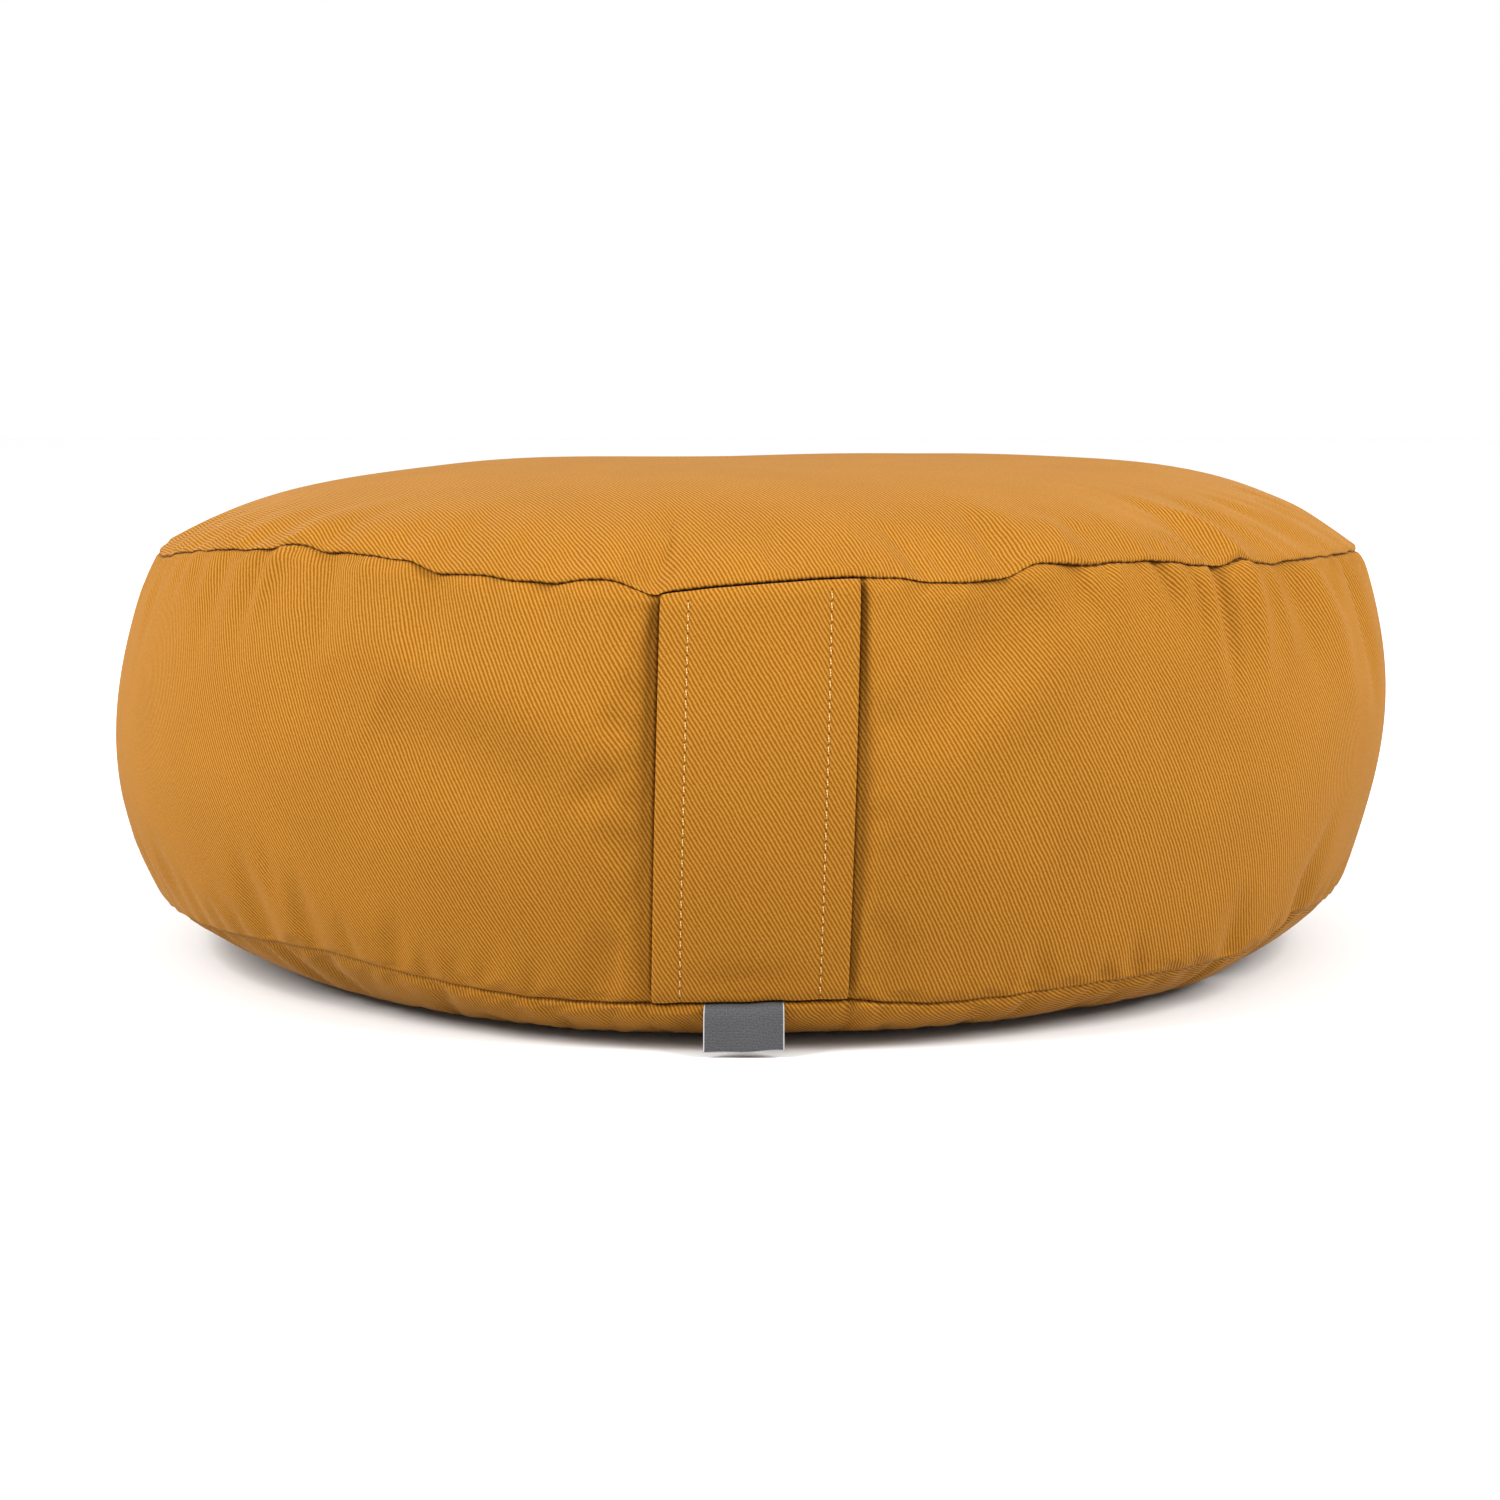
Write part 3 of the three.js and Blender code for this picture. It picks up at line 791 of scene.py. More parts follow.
@dataclass(frozen=True)
class SewingThread:
    """Spun polyester sewing thread in a pale cream.

    It is twisted from plies, and the light on each ply and the shade between them are painted, so its tone
    goes up and down along it. It is spun from short fibre, so it is soft and only faintly glossy. The turns
    are drawn at twice their real length of 0.4 mm, which would not show.
    """

    name: str = "spun sewing thread"
    colour: str = "#C5A164"
    shade: str = "#996E34"
    turn_length: float = 0.848

    def make(self) -> bpy.types.Material:
        """Builds the node material.

        Returns:
            The material.
        """
        material = new_material(self.name, self.colour)
        tree = material.node_tree
        place = add_node(tree, "TexCoord")
        # Painted shade between the plies and light on them, turn by turn along the thread.
        # At scale 1 the wave texture turns 20 radians in each unit, which is a metre here.
        scale = math.tau / 20.0 / (self.turn_length * MM)
        plies = add_node(tree, "TexWave", {"Vector": place.outputs["Object"], "Scale": scale,
                                           "Distortion": 1.5}, bands_direction="Z")
        ramp = add_node(tree, "ValToRGB", {0: plies.outputs["Fac"]})
        for stop, colour in zip(ramp.color_ramp.elements, (self.shade, self.colour)):
            stop.color = linear(colour)
        skin = add_node(tree, "BsdfPrincipled", {"Base Color": ramp, "Roughness": 0.7, "IOR": 1.5,
                                                 "Specular IOR Level": 0.3})
        add_node(tree, "OutputMaterial", {"Surface": skin})
        return material


@dataclass(frozen=True)
class WovenTape:
    """Fine dark grey polyester tape.

    It is woven close from smooth yarn, so it looks even and a little silky, with a faint grain, and the yarn
    ends are paler along its cut edges. The yarns are drawn at 0.42 mm, since the real ones would not show.
    """

    name: str = "woven tape"
    colour: str = "#464648"
    dark: str = "#242426"
    edge_colour: str = "#A1A1A4"
    yarn: float = 0.42
    rib_share: float = 0.15
    yarn_relief: float = 0.05

    def make(self) -> bpy.types.Material:
        """Builds the node material, which reads the tape's coordinates in millimetres from "weave".

        Returns:
            The material.
        """
        material = new_material(self.name, self.colour)
        tree = material.node_tree
        weave = add_node(tree, "Attribute", attribute_name="weave")
        axes = add_node(tree, "SeparateXYZ", {0: weave.outputs["Vector"]})
        grain = add_node(tree, "TexNoise", {"Vector": weave.outputs["Vector"], "Scale": 1.0 / self.yarn,
                                            "Detail": 2.0})
        rows = add_node(tree, "Math", {0: axes.outputs["Y"], 1: math.tau / self.yarn}, operation="MULTIPLY")
        ribs = add_node(tree, "Math", {0: rows}, operation="SINE")
        mixed = add_node(tree, "Math", {0: ribs, 1: self.rib_share, 2: grain.outputs["Fac"]},
                         operation="MULTIPLY_ADD")
        ramp = add_node(tree, "ValToRGB", {0: mixed})
        for stop, place, colour in zip(ramp.color_ramp.elements, (0.25, 0.75), (self.dark, self.colour)):
            stop.position = place
            stop.color = linear(colour)
        edge = add_node(tree, "MixRGB", {0: axes.outputs["Z"], 1: ramp, 2: linear(self.edge_colour)})
        bump = add_node(tree, "Bump", {"Height": mixed, "Distance": self.yarn_relief * MM})
        skin = add_node(tree, "BsdfPrincipled", {"Base Color": edge, "Roughness": 0.75, "IOR": 1.5,
                                                 "Specular IOR Level": 0.35, "Normal": bump})
        add_node(tree, "OutputMaterial", {"Surface": skin})
        return material


@dataclass(frozen=True)
class PaperSweep:
    """Plain white background paper, matt and even.

    The paper's grey is painted: greyer towards the middle, where the lamps light it most, so that it looks
    evenly white, and darkest at the cushion's foot as a painted short soft shadow. Each tone stands at its
    distance in metres from the middle.
    """

    name: str = "white paper"
    colour: str = "#F7F7F8"
    reach: float = 1.5
    painted_tones: tuple[tuple[float, float], ...] = (
        (0.168, 0.5), (0.19, 0.66), (0.3, 0.69), (0.5, 0.7), (0.9, 0.78), (1.5, 0.95),
    )
    fibre: float = 2.5
    fibre_shade: float = 0.02

    def make(self) -> bpy.types.Material:
        """Builds the node material, whose grey follows the distance from the cushion's middle.

        Returns:
            The material.
        """
        material = new_material(self.name, self.colour)
        tree = material.node_tree
        place = add_node(tree, "TexCoord")
        fibre = add_node(tree, "TexNoise", {"Vector": place.outputs["Object"],
                                            "Scale": 1.0 / (self.fibre * MM)})
        distance = add_node(tree, "VectorMath", {0: place.outputs["Object"]}, operation="LENGTH")
        share = add_node(tree, "Math", {0: distance.outputs["Value"], 1: self.reach}, operation="DIVIDE")
        # The painted grey: a shadow at the cushion's foot, and lighter outwards against the lamps.
        ramp = add_node(tree, "ValToRGB", {0: share})
        ramp.color_ramp.interpolation = "EASE"
        stops = ramp.color_ramp.elements
        for away, _ in self.painted_tones[1:-1]:
            stops.new(away / self.reach)
        for stop, (away, tone) in zip(stops, self.painted_tones):
            stop.position = away / self.reach
            stop.color = (tone, tone, tone, 1.0)
        mottle = add_node(tree, "Math", {0: fibre.outputs["Fac"], 1: self.fibre_shade,
                                         2: 1.0 - self.fibre_shade / 2}, operation="MULTIPLY_ADD")
        colour = add_node(tree, "HueSaturation", {"Value": mottle, "Color": ramp})
        skin = add_node(tree, "BsdfPrincipled", {"Base Color": colour, "Roughness": 0.9,
                                                 "Specular IOR Level": 0.1})
        add_node(tree, "OutputMaterial", {"Surface": skin})
        return material


def make_object(name: str, points: Array, faces: Sequence[Sequence[int]], weave: Array,
                material: bpy.types.Material) -> bpy.types.Object:
    """Makes a smooth mesh object with its cloth coordinates on the face corners.

    Args:
        name: The piece's name.
        points: Vertices in metres.
        faces: Vertex numbers of each face.
        weave: Cloth coordinates in millimetres, one row for each face corner in order.
        material: The finish.

    Returns:
        The object, linked to the scene.
    """
    mesh = bpy.data.meshes.new(name)
    mesh.from_pydata(points.tolist(), [], [list(face) for face in faces])
    layer = mesh.attributes.new("weave", "FLOAT_VECTOR", "CORNER")
    layer.data.foreach_set("vector", np.ascontiguousarray(weave, np.float32).ravel())
    mesh.polygons.foreach_set("use_smooth", [True] * len(mesh.polygons))
    mesh.materials.append(material)
    mesh.validate()
    mesh.update()
    made = bpy.data.objects.new(name, mesh)
    bpy.context.collection.objects.link(made)
    return made


def spaced(length: float, near: Sequence[float], step: float) -> Array:
    """Shares along a length that crowd towards both ends.

    Args:
        length: The whole length.
        near: Distances from each end that get a row.
        step: Spacing in between.

    Returns:
        Shares from 0 to 1.
    """
    count = max(2, round((length - 2 * near[-1]) / step))
    middle = np.linspace(near[-1], length - near[-1], count)
    ends = np.asarray(near[:-1], float)
    return np.concatenate([ends, middle, length - ends[::-1]]) / length


@dataclass
class CoverGrid:
    """The cover's rows and columns: points in metres, cloth coordinates and seam marks.

    Each row has its panel, and starts has the first row of the base, the roll, the band and the crown.
    """

    points: Array
    weave: Array
    seam: Array
    panels: list[Panel]
    starts: list[int]


@dataclass(frozen=True)
class ClothSettling:
    """Settles the cover's cloth over its filling with a short cloth simulation.

    The filling presses from inside, the cloth is a little too large for it, and no point moves far. There is
    no gravity, since the form is already that of the resting cushion.
    """

    pressure: float = 3.0
    frames: int = 20
    quality: int = 5
    spare_cloth: float = 0.018
    furthest: float = 0.9
    mass: float = 0.35
    tension: float = 30.0
    compression: float = 18.0
    shear: float = 6.0
    bending: float = 1.2

    def settle(self, cover: bpy.types.Object, held: Array, room: Array) -> Array:
        """Runs the simulation on a rough cover.

        Args:
            cover: The rough cover.
            held: How firmly each vertex is held in place, from 0 to 1.
            room: How far each vertex may move, as a share of the furthest.

        Returns:
            How the cloth moved at each vertex, in metres.
        """
        group = cover.vertex_groups.new(name="held")
        for level in np.unique(held):
            group.add(np.flatnonzero(held == level).tolist(), float(level), "REPLACE")
        cloth = cover.modifiers.new("filling", "CLOTH")
        cloth.point_cache.frame_end = self.frames
        settings = cloth.settings
        settings.quality = self.quality
        settings.mass = self.mass
        settings.tension_stiffness = self.tension
        settings.compression_stiffness = self.compression
        settings.shear_stiffness = self.shear
        settings.bending_stiffness = self.bending
        settings.vertex_group_mass = group.name
        settings.shrink_min = -self.spare_cloth
        settings.use_pressure = True
        settings.uniform_pressure_force = self.pressure
        settings.effector_weights.gravity = 0.0
        cloth.collision_settings.use_collision = False
        before = self.places(cover.data)
        for moment in range(1, self.frames + 1):
            bpy.context.scene.frame_set(moment)
        with bpy.context.temp_override(object=cover, active_object=cover, selected_objects=[cover]):
            bpy.ops.object.modifier_apply(modifier=cloth.name)
        bpy.context.scene.frame_set(1)
        move = self.places(cover.data) - before
        length = np.linalg.norm(move, axis=1, keepdims=True)
        limit = self.furthest * MM * room[:, None]
        LOG.info("cloth moved %.2f mm on average before its limit", length.mean() / MM)
        return move * limit * np.tanh(length / (limit + 1e-9)) / (length + 1e-9)

    @staticmethod
    def places(mesh: bpy.types.Mesh) -> Array:
        """Reads a mesh's vertices.

        Args:
            mesh: The mesh.

        Returns:
            Their places in metres, one row each.
        """
        flat = np.empty(len(mesh.vertices) * 3)
        mesh.vertices.foreach_get("co", flat)
        return flat.reshape(-1, 3)


@dataclass
class FilledCover:
    """The sewn cover over its filling: bottom panel, side band and top panel, and two drawn-in seams."""

    shape: CoverShape
    finish: CottonTwill
    settling: ClothSettling = ClothSettling()
    columns: int = 272
    edge_columns: tuple[float, ...] = (-2.6, -1.0, 0.0, 0.5, 1.0, 1.6, 2.6, 4.2)
    edge_room: float = 1.2
    front_density: float = 0.38
    seam_rows: tuple[float, ...] = (0.0, 0.35, 0.8, 1.5, 2.7, 4.4, 6.8)
    crown_rows: tuple[float, ...] = (0.03, 0.1, 0.28, 0.7, 1.6, 3.2, 5.6)
    band_step: float = 5.0
    innermost_base: float = 0.12
    base_rows: int = 5
    roll_run: float = 46.0
    innermost_roll: float = 0.12
    roll_rows: int = 8
    crown_run: float = 200.0
    crown_shoulder: tuple[float, float, int] = (0.95, 0.76, 10)
    crown_middle: tuple[float, float, int] = (0.71, 0.05, 13)
    top_run: float = 7.0
    faint_seam: float = 0.28
    clear_seam: float = 0.9
    clear_width: float = 17.0
    seam_clears: tuple[float, float] = (40.0, 90.0)
    far: float = 99.0
    strap_foot: float = 15.0
    strap_span: tuple[float, float] = (12.0, 136.0)
    strap_hold: float = 12.0
    rest_hold: float = 4.0
    seam_hold: tuple[float, float] = (0.5, 3.0)
    hold_levels: float = 4.0
    name: str = "cushion_cover"

    def column_azimuths(self) -> Array:
        """Lays out the columns, closer together at the front and closest beside the strap.

        Returns:
            Their azimuths before they lean with the strap, rising.
        """
        turn = np.arange(self.columns) / self.columns
        even = -180.0 + 360.0 * (turn + self.front_density * np.sin(math.tau * turn) / math.tau)
        past = np.radians(np.abs(even)) * self.shape.band_mid_radius - self.shape.strap_width / 2
        nearest, furthest = self.edge_columns[0] - self.edge_room, self.edge_columns[-1] + self.edge_room
        kept = even[(past < nearest) | (past > furthest)]
        beside = (self.shape.strap_width / 2 + np.array(self.edge_columns)) / self.shape.band_mid_radius
        return np.sort(np.concatenate([kept, np.degrees(beside), -np.degrees(beside)]))

    def rows(self) -> list[tuple[Panel, Callable[..., Any], Array]]:
        """Lays out the rows, which crowd at both seams, from the base's middle to the crown's.

        Returns:
            Panel, point function and shares of the base, the roll, the band and the crown.
        """
        shape = self.shape
        band = spaced(BAND_RUN, self.seam_rows, self.band_step)
        roll_near = 1.0 - np.asarray(self.seam_rows) / self.roll_run
        roll_far = np.linspace(self.innermost_roll, roll_near[-1] - 0.08, self.roll_rows)
        roll = np.concatenate([roll_far, roll_near[:0:-1]])
        crown_near = 1.0 - np.asarray(self.crown_rows) / self.crown_run
        crown_far = [np.linspace(*self.crown_shoulder), np.linspace(*self.crown_middle)]
        crown = np.concatenate([crown_near, *crown_far])
        return [
            (Panel.BOTTOM, shape.base_point, np.linspace(self.innermost_base, 1.0, self.base_rows)),
            (Panel.BOTTOM, shape.roll_point, roll),
            (Panel.BAND, shape.band_point, band),
            (Panel.TOP, shape.crown_point, crown),
        ]

    def panel_weave(self, panel: Panel, azimuth: Array, height: Array, run: Array) -> Array:
        """Cloth coordinates of points of one panel.

        Args:
            panel: Which cut piece.
            azimuth: Azimuths in degrees.
            height: Heights.
            run: Distance along the cloth, up the band or out from a round panel's middle.

        Returns:
            Coordinates across and along the cloth, and zero.
        """
        angle = np.radians(azimuth)
        if panel is Panel.BAND:
            across, up = angle * self.shape.band_mid_radius, run
            for drift in DRIFTS:
                around = np.radians(turned(azimuth - drift.azimuth)) * self.shape.band_mid_radius
                lift = (height - drift.height) / drift.spread_up
                across = across + drift.shift * bell(around, drift.spread_around) * bell(lift, 1.0)
        else:
            facing = -1.0 if panel is Panel.TOP else 1.0
            x, y = run * np.sin(angle), facing * run * np.cos(angle)
            turn = math.radians(self.top_run) if panel is Panel.TOP else 0.0
            across, up = x * math.cos(turn) - y * math.sin(turn), x * math.sin(turn) + y * math.cos(turn)
        return np.stack([across, up, np.zeros_like(across)], -1)

    def seam_marks(self, panel: Panel, azimuth: Array, height: Array, run: Array) -> Array:
        """Marks how near a seam is and how clearly it shows.

        Args:
            panel: Which cut piece.
            azimuth: Azimuths in degrees.
            height: Heights.
            run: Distance along the cloth, as for the weave.

        Returns:
            Distance to the nearest seam, distance along it, and how much of its painted shade line shows.
        """
        # On the flat of the base, the flat's rim stands in for the seam.
        to_end, from_start = np.abs(run[-1] - run), np.abs(run - run[0])
        nearest = {Panel.BOTTOM: to_end, Panel.BAND: np.minimum(to_end, from_start), Panel.TOP: from_start}
        around = np.radians(azimuth) * self.shape.band_mid_radius
        # The bottom seam is turned away from the light, so its painted shade line is kept faint except at
        # the strap's foot.
        at_foot = bell(turned(azimuth), self.clear_width)
        shown = mix(mix(self.faint_seam, self.clear_seam, at_foot), 1.0, smooth(height, *self.seam_clears))
        return np.stack([nearest[panel], around, shown], -1)

    def grid(self, finer: bool) -> CoverGrid:
        """Places all rows and columns.

        Args:
            finer: Whether there is a row and a column halfway between each two.

        Returns:
            The grid.
        """
        nominal = self.column_azimuths()
        if finer:
            after = np.append(nominal[1:], nominal[0] + 360.0)
            nominal = np.stack([nominal, (nominal + after) / 2.0], 1).ravel()
        rings, weaves, seams, panels, starts = [], [], [], [], []
        for panel, point, shares in self.rows():
            if finer:
                shares = np.interp(np.arange(2 * len(shares) - 1) / 2.0, np.arange(len(shares)), shares)
            grid = [point(nominal, np.full(len(nominal), share)) for share in shares]
            azimuth, radius, height = (np.array(part) for part in zip(*grid))
            steps = np.hypot(np.diff(radius, axis=0), np.diff(height, axis=0))
            none = np.zeros((1, len(nominal)))
            if panel is Panel.TOP:
                run = radius[-1] + np.concatenate([np.cumsum(steps[::-1], 0)[::-1], none])
            else:
                start = radius[:1] if panel is Panel.BOTTOM else none
                run = start + np.concatenate([none, np.cumsum(steps, 0)])
            rings.append(on_rim(azimuth, radius, height))
            weaves.append(self.panel_weave(panel, azimuth, height, run))
            seams.append(self.seam_marks(panel, azimuth, height, run))
            starts.append(len(panels))
            panels += [panel] * len(shares)
        return CoverGrid(np.concatenate(rings), np.concatenate(weaves), np.concatenate(seams), panels, starts)

    def make(self) -> bpy.types.Object:
        """Builds the cover: the settled cloth's move on a rough mesh is added to the fine one.

        Returns:
            The cover as one closed mesh.
        """
        fine = self.grid(finer=True)
        rough = self.grid(finer=False)
        trial = self.mesh(rough)
        move = self.settling.settle(trial, *self.hold(rough))
        bpy.data.objects.remove(trial)
        move = move[:-2].reshape(rough.points.shape)
        ends = rough.starts[1:] + [len(rough.panels)]
        parts = [halved(move[a:b], closed=False) for a, b in zip(rough.starts, ends)]
        fine.points += halved(np.concatenate(parts).swapaxes(0, 1), closed=True).swapaxes(0, 1)
        fine.points[..., 2] = np.maximum(fine.points[..., 2], 0.0)
        return self.mesh(fine)

    def mesh(self, grid: CoverGrid) -> bpy.types.Object:
        """Joins the rings with quads and closes both ends on a point.

        Args:
            grid: The rows and columns.

        Returns:
            The object, with the seam marks on its points.
        """
        rings, weave, panels = grid.points, grid.weave, grid.panels
        count, size = rings.shape[:2]
        step = np.arange(size)
        after = (step + 1) % size
        full_turn = math.tau * self.shape.band_mid_radius
        faces, corners = [], []
        for ring in range(count - 1):
            low, high = ring * size, (ring + 1) * size
            quads = np.stack([low + step, low + after, high + after, high + step], 1)
            here, above = weave[ring], weave[ring + 1]
            at = np.stack([here[step], here[after], above[after], above[step]], 1)
            if panels[ring] is Panel.BAND and panels[ring + 1] is Panel.BAND:
                at[-1, 1:3, 0] += full_turn
            elif panels[ring] is not panels[ring + 1]:
                # Between two panels the cloth of the lower one goes on, since their coordinates don't meet.
                at[:, 2:] = at[:, 1::-1]
            faces.append(quads)
            corners.append(at)
        points = np.concatenate([rings.reshape(-1, 3), [[0, 0, 0]], [rings[-1].mean(0)]])
        foot, head = len(points) - 2, len(points) - 1
        last = (count - 1) * size
        caps, cap_weave = [], []
        for ring, tip, first, second in ((0, foot, after, step), (-1, head, last + step, last + after)):
            caps += np.stack([np.full(size, tip), first, second], 1).tolist()
            middle = np.tile(weave[ring].mean(0), (size, 1))
            cap_weave.append(np.stack([middle, weave[ring][first % size], weave[ring][second % size]], 1))
        all_faces = np.concatenate(faces).tolist() + caps
        all_weave = np.concatenate([part.reshape(-1, 3) for part in corners + cap_weave])
        cover = make_object(self.name, points, all_faces, all_weave, self.finish.make())
        marks = np.append(grid.seam.reshape(-1, 3), np.full((2, 3), self.far), 0).astype(np.float32)
        layer = cover.data.attributes.new("seam", "FLOAT_VECTOR", "POINT")
        layer.data.foreach_set("vector", marks.ravel())
        return cover

    def hold(self, grid: CoverGrid) -> tuple[Array, Array]:
        """How firmly each vertex is held, and how much of the furthest move it has.

        Args:
            grid: The rough cover's grid.

        Returns:
            The hold from 0 to 1 in a few levels, and the share of the furthest move.
        """
        tips = [[0.0, 0.0, 0.0], [0.0, 0.0, self.shape.crown + self.shape.mean_seam_height]]
        points = np.append(grid.points.reshape(-1, 3) / MM, tips, 0)
        seam = np.append(grid.seam[..., 0].ravel(), [self.far, self.far])
        azimuth = np.degrees(np.arctan2(points[:, 0], -points[:, 1]))
        height = points[:, 2]
        share = np.clip((height - self.strap_foot) / BAND_RUN, 0.0, 1.0)
        beside = smooth(self.shape.past_strap_edge(azimuth, share), 0.0, self.strap_hold)
        lowest, highest = self.strap_span
        under_strap = np.where((height < highest) & (height > lowest), 1.0 - beside, 0.0)
        rests = 1.0 - smooth(height, 0.0, self.rest_hold)
        sewn = 1.0 - smooth(seam, *self.seam_hold)
        hold = np.maximum.reduce([under_strap, rests, sewn])
        held = np.round(hold * self.hold_levels) / self.hold_levels
        return held, np.clip(1.0 - hold, 0.0, 1.0)

    def build(self) -> bpy.types.Object:
        """Builds the cover and hands it to the frame.

        Returns:
            The cover.
        """
        cover = self.make()
        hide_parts("cushion_body")
        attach(cover, "root")
        return cover


def sheet_mesh(name: str, outer: Array, inner: Array, weave: Array,
               material: bpy.types.Material) -> bpy.types.Object:
    """A thin closed sheet from two matching grids of points, joined round their rims.

    Args:
        name: The piece's name.
        outer: Grid of points of the face that shows, rows by columns.
        inner: The same grid on the back.
        weave: Cloth coordinates of the grid.
        material: The finish.

    Returns:
        The object.
    """
    rows, columns = outer.shape[:2]
    number = np.arange(rows * columns).reshape(rows, columns)
    back = number + rows * columns
    faces = [(number[r, c], number[r, c + 1], number[r + 1, c + 1], number[r + 1, c])
             for r in range(rows - 1) for c in range(columns - 1)]
    faces += [(back[r + 1, c], back[r + 1, c + 1], back[r, c + 1], back[r, c])
              for r in range(rows - 1) for c in range(columns - 1)]
    rim = [*number[0, :-1], *number[:-1, -1], *number[-1, :0:-1], *number[:0:-1, 0]]
    rim_back = [v + rows * columns for v in rim]
    for i, vertex in enumerate(rim):
        j = (i + 1) % len(rim)
        faces.append((rim[j], vertex, rim_back[i], rim_back[j]))
    points = np.concatenate([outer.reshape(-1, 3), inner.reshape(-1, 3)])
    at = np.concatenate([weave.reshape(-1, 3), weave.reshape(-1, 3)])
    corners = np.concatenate([at[list(face)] for face in faces])
    return make_object(name, points, faces, corners, material)


@dataclass
class CarryStrap:
    """The wide strap over the front of the band: hemmed, topstitched, with both ends sewn into the seams."""

    shape: CoverShape
    finish: CottonTwill
    thread: SewingThread
    hem_round: float = 0.9
    hem_taper: float = 0.6
    hem_columns: int = 6
    line_columns: tuple[float, ...] = (-2.2, -1.3, -0.8, -0.4, 0.0, 0.4, 0.8, 1.3, 2.2)
    line_room: float = 3.4
    middle_columns: int = 10
    side_columns: int = 4
    side_room: float = 1.9
    end_rows: tuple[float, ...] = (0.0, 0.25, 0.6, 1.0, 1.5, 2.1, 3.0, 4.0)
    row_step: float = 0.9
    cloth_length: float = 120.0
    stitch_inset: float = 8.1
    stitch_pitch: float = 3.0
    stitch_length: float = 2.3
    stitch_start: float = 1.5
    stitch_slant: float = 0.16
    thread_radius: float = 0.19
    thread_sides: int = 6
    thread_sizes: tuple[float, ...] = (0.55, 0.9, 1.0, 1.0, 1.0, 0.9, 0.55)
    dimple: float = 0.28
    dimple_width: float = 0.9
    dent: float = 1.7
    dent_centre: float = -1.7
    dent_width: float = 15.0
    dent_height: float = 5.0
    dent_spread: float = 5.5

    def across_positions(self) -> Array:
        """Lays out the columns, crowded at the hems and the stitch lines.

        Returns:
            Distances from the strap's middle, rising.
        """
        half = self.shape.strap_width / 2
        line = half - self.stitch_inset
        edge = half - self.hem_round * (1.0 - np.cos(np.linspace(0.0, math.pi / 2, self.hem_columns)))
        near_line = line + np.array(self.line_columns)
        middle = np.linspace(0.0, line - self.line_room, self.middle_columns)
        side = np.linspace(line + self.line_room, half - self.side_room, self.side_columns)
        right = np.unique(np.round(np.concatenate([middle, near_line, side, edge]), 4))
        return np.concatenate([-right[:0:-1], right])

    def face(self, across: Array, share: Array, depth: Array) -> Array:
        """Points of the strap's face.

        Args:
            across: Distance from the strap's middle.
            share: Share of the way from the bottom seam to the top seam.
            depth: Depth below the face.

        Returns:
            Points in metres.
        """
        shape = self.shape
        azimuth = shape.lean(share) + np.degrees(across / shape.strap_radius(0.0, share))
        low, high = shape.bottom_seam(azimuth), shape.top_seam(azimuth)
        height = mix(low + shape.gap, high - shape.gap, share)
        turn_in = shape.groove(height - low) + shape.groove(high - height)
        radius = shape.strap_radius(azimuth, share) - turn_in
        return on_rim(azimuth, radius - depth, height)

    def relief(self, across: Array, share: Array) -> Array:
        """Depth of the rounded hems, the stitch lines and the dent over the tag.

        Args:
            across: Distance from the strap's middle.
            share: Share of the way from the bottom seam to the top seam.

        Returns:
            Depth below the strap's plain face.
        """
        half = self.shape.strap_width / 2
        past = np.clip((np.abs(across) - (half - self.hem_round)) / self.hem_round, 0.0, 1.0)
        hem = self.hem_round * (1.0 - np.sqrt(1.0 - past ** 2))
        line = np.abs(across) - (half - self.stitch_inset)
        # The stitches pull the cloth down a little more at each hole.
        beat = 0.75 + 0.25 * np.cos(math.tau * share * BAND_RUN / self.stitch_pitch)
        dimple = self.dimple * bell(line, self.dimple_width) * beat
        dent = self.dent * bell(across - self.dent_centre, self.dent_width)
        return hem + dimple + dent * bell(share * BAND_RUN - self.dent_height, self.dent_spread)

    def make(self) -> bpy.types.Object:
        """Builds the strap's mesh.

        Returns:
            The strap, with its places across and along on its points for the painted shade at the needle's
            holes.
        """
        across = self.across_positions()
        share = spaced(BAND_RUN, self.end_rows, self.row_step)
        grid_across, grid_share = np.meshgrid(across, share)
        relief = self.relief(grid_across, grid_share)
        outer = self.face(grid_across, grid_share, relief)
        back = np.minimum(relief, self.hem_round)
        inner = self.face(grid_across, grid_share, self.shape.strap_thickness - self.hem_taper * back)
        none = np.zeros_like(grid_across)
        weave = np.stack([grid_across, grid_share * self.cloth_length, none], -1)
        strap = sheet_mesh("carry_strap_twill", outer, inner, weave, self.finish.make())
        stitch = np.stack([grid_across, grid_share * BAND_RUN - self.stitch_start, none], -1).reshape(-1, 3)
        layer = strap.data.attributes.new("stitch", "FLOAT_VECTOR", "POINT")
        layer.data.foreach_set("vector", np.concatenate([stitch, stitch]).astype(np.float32).ravel())
        return strap

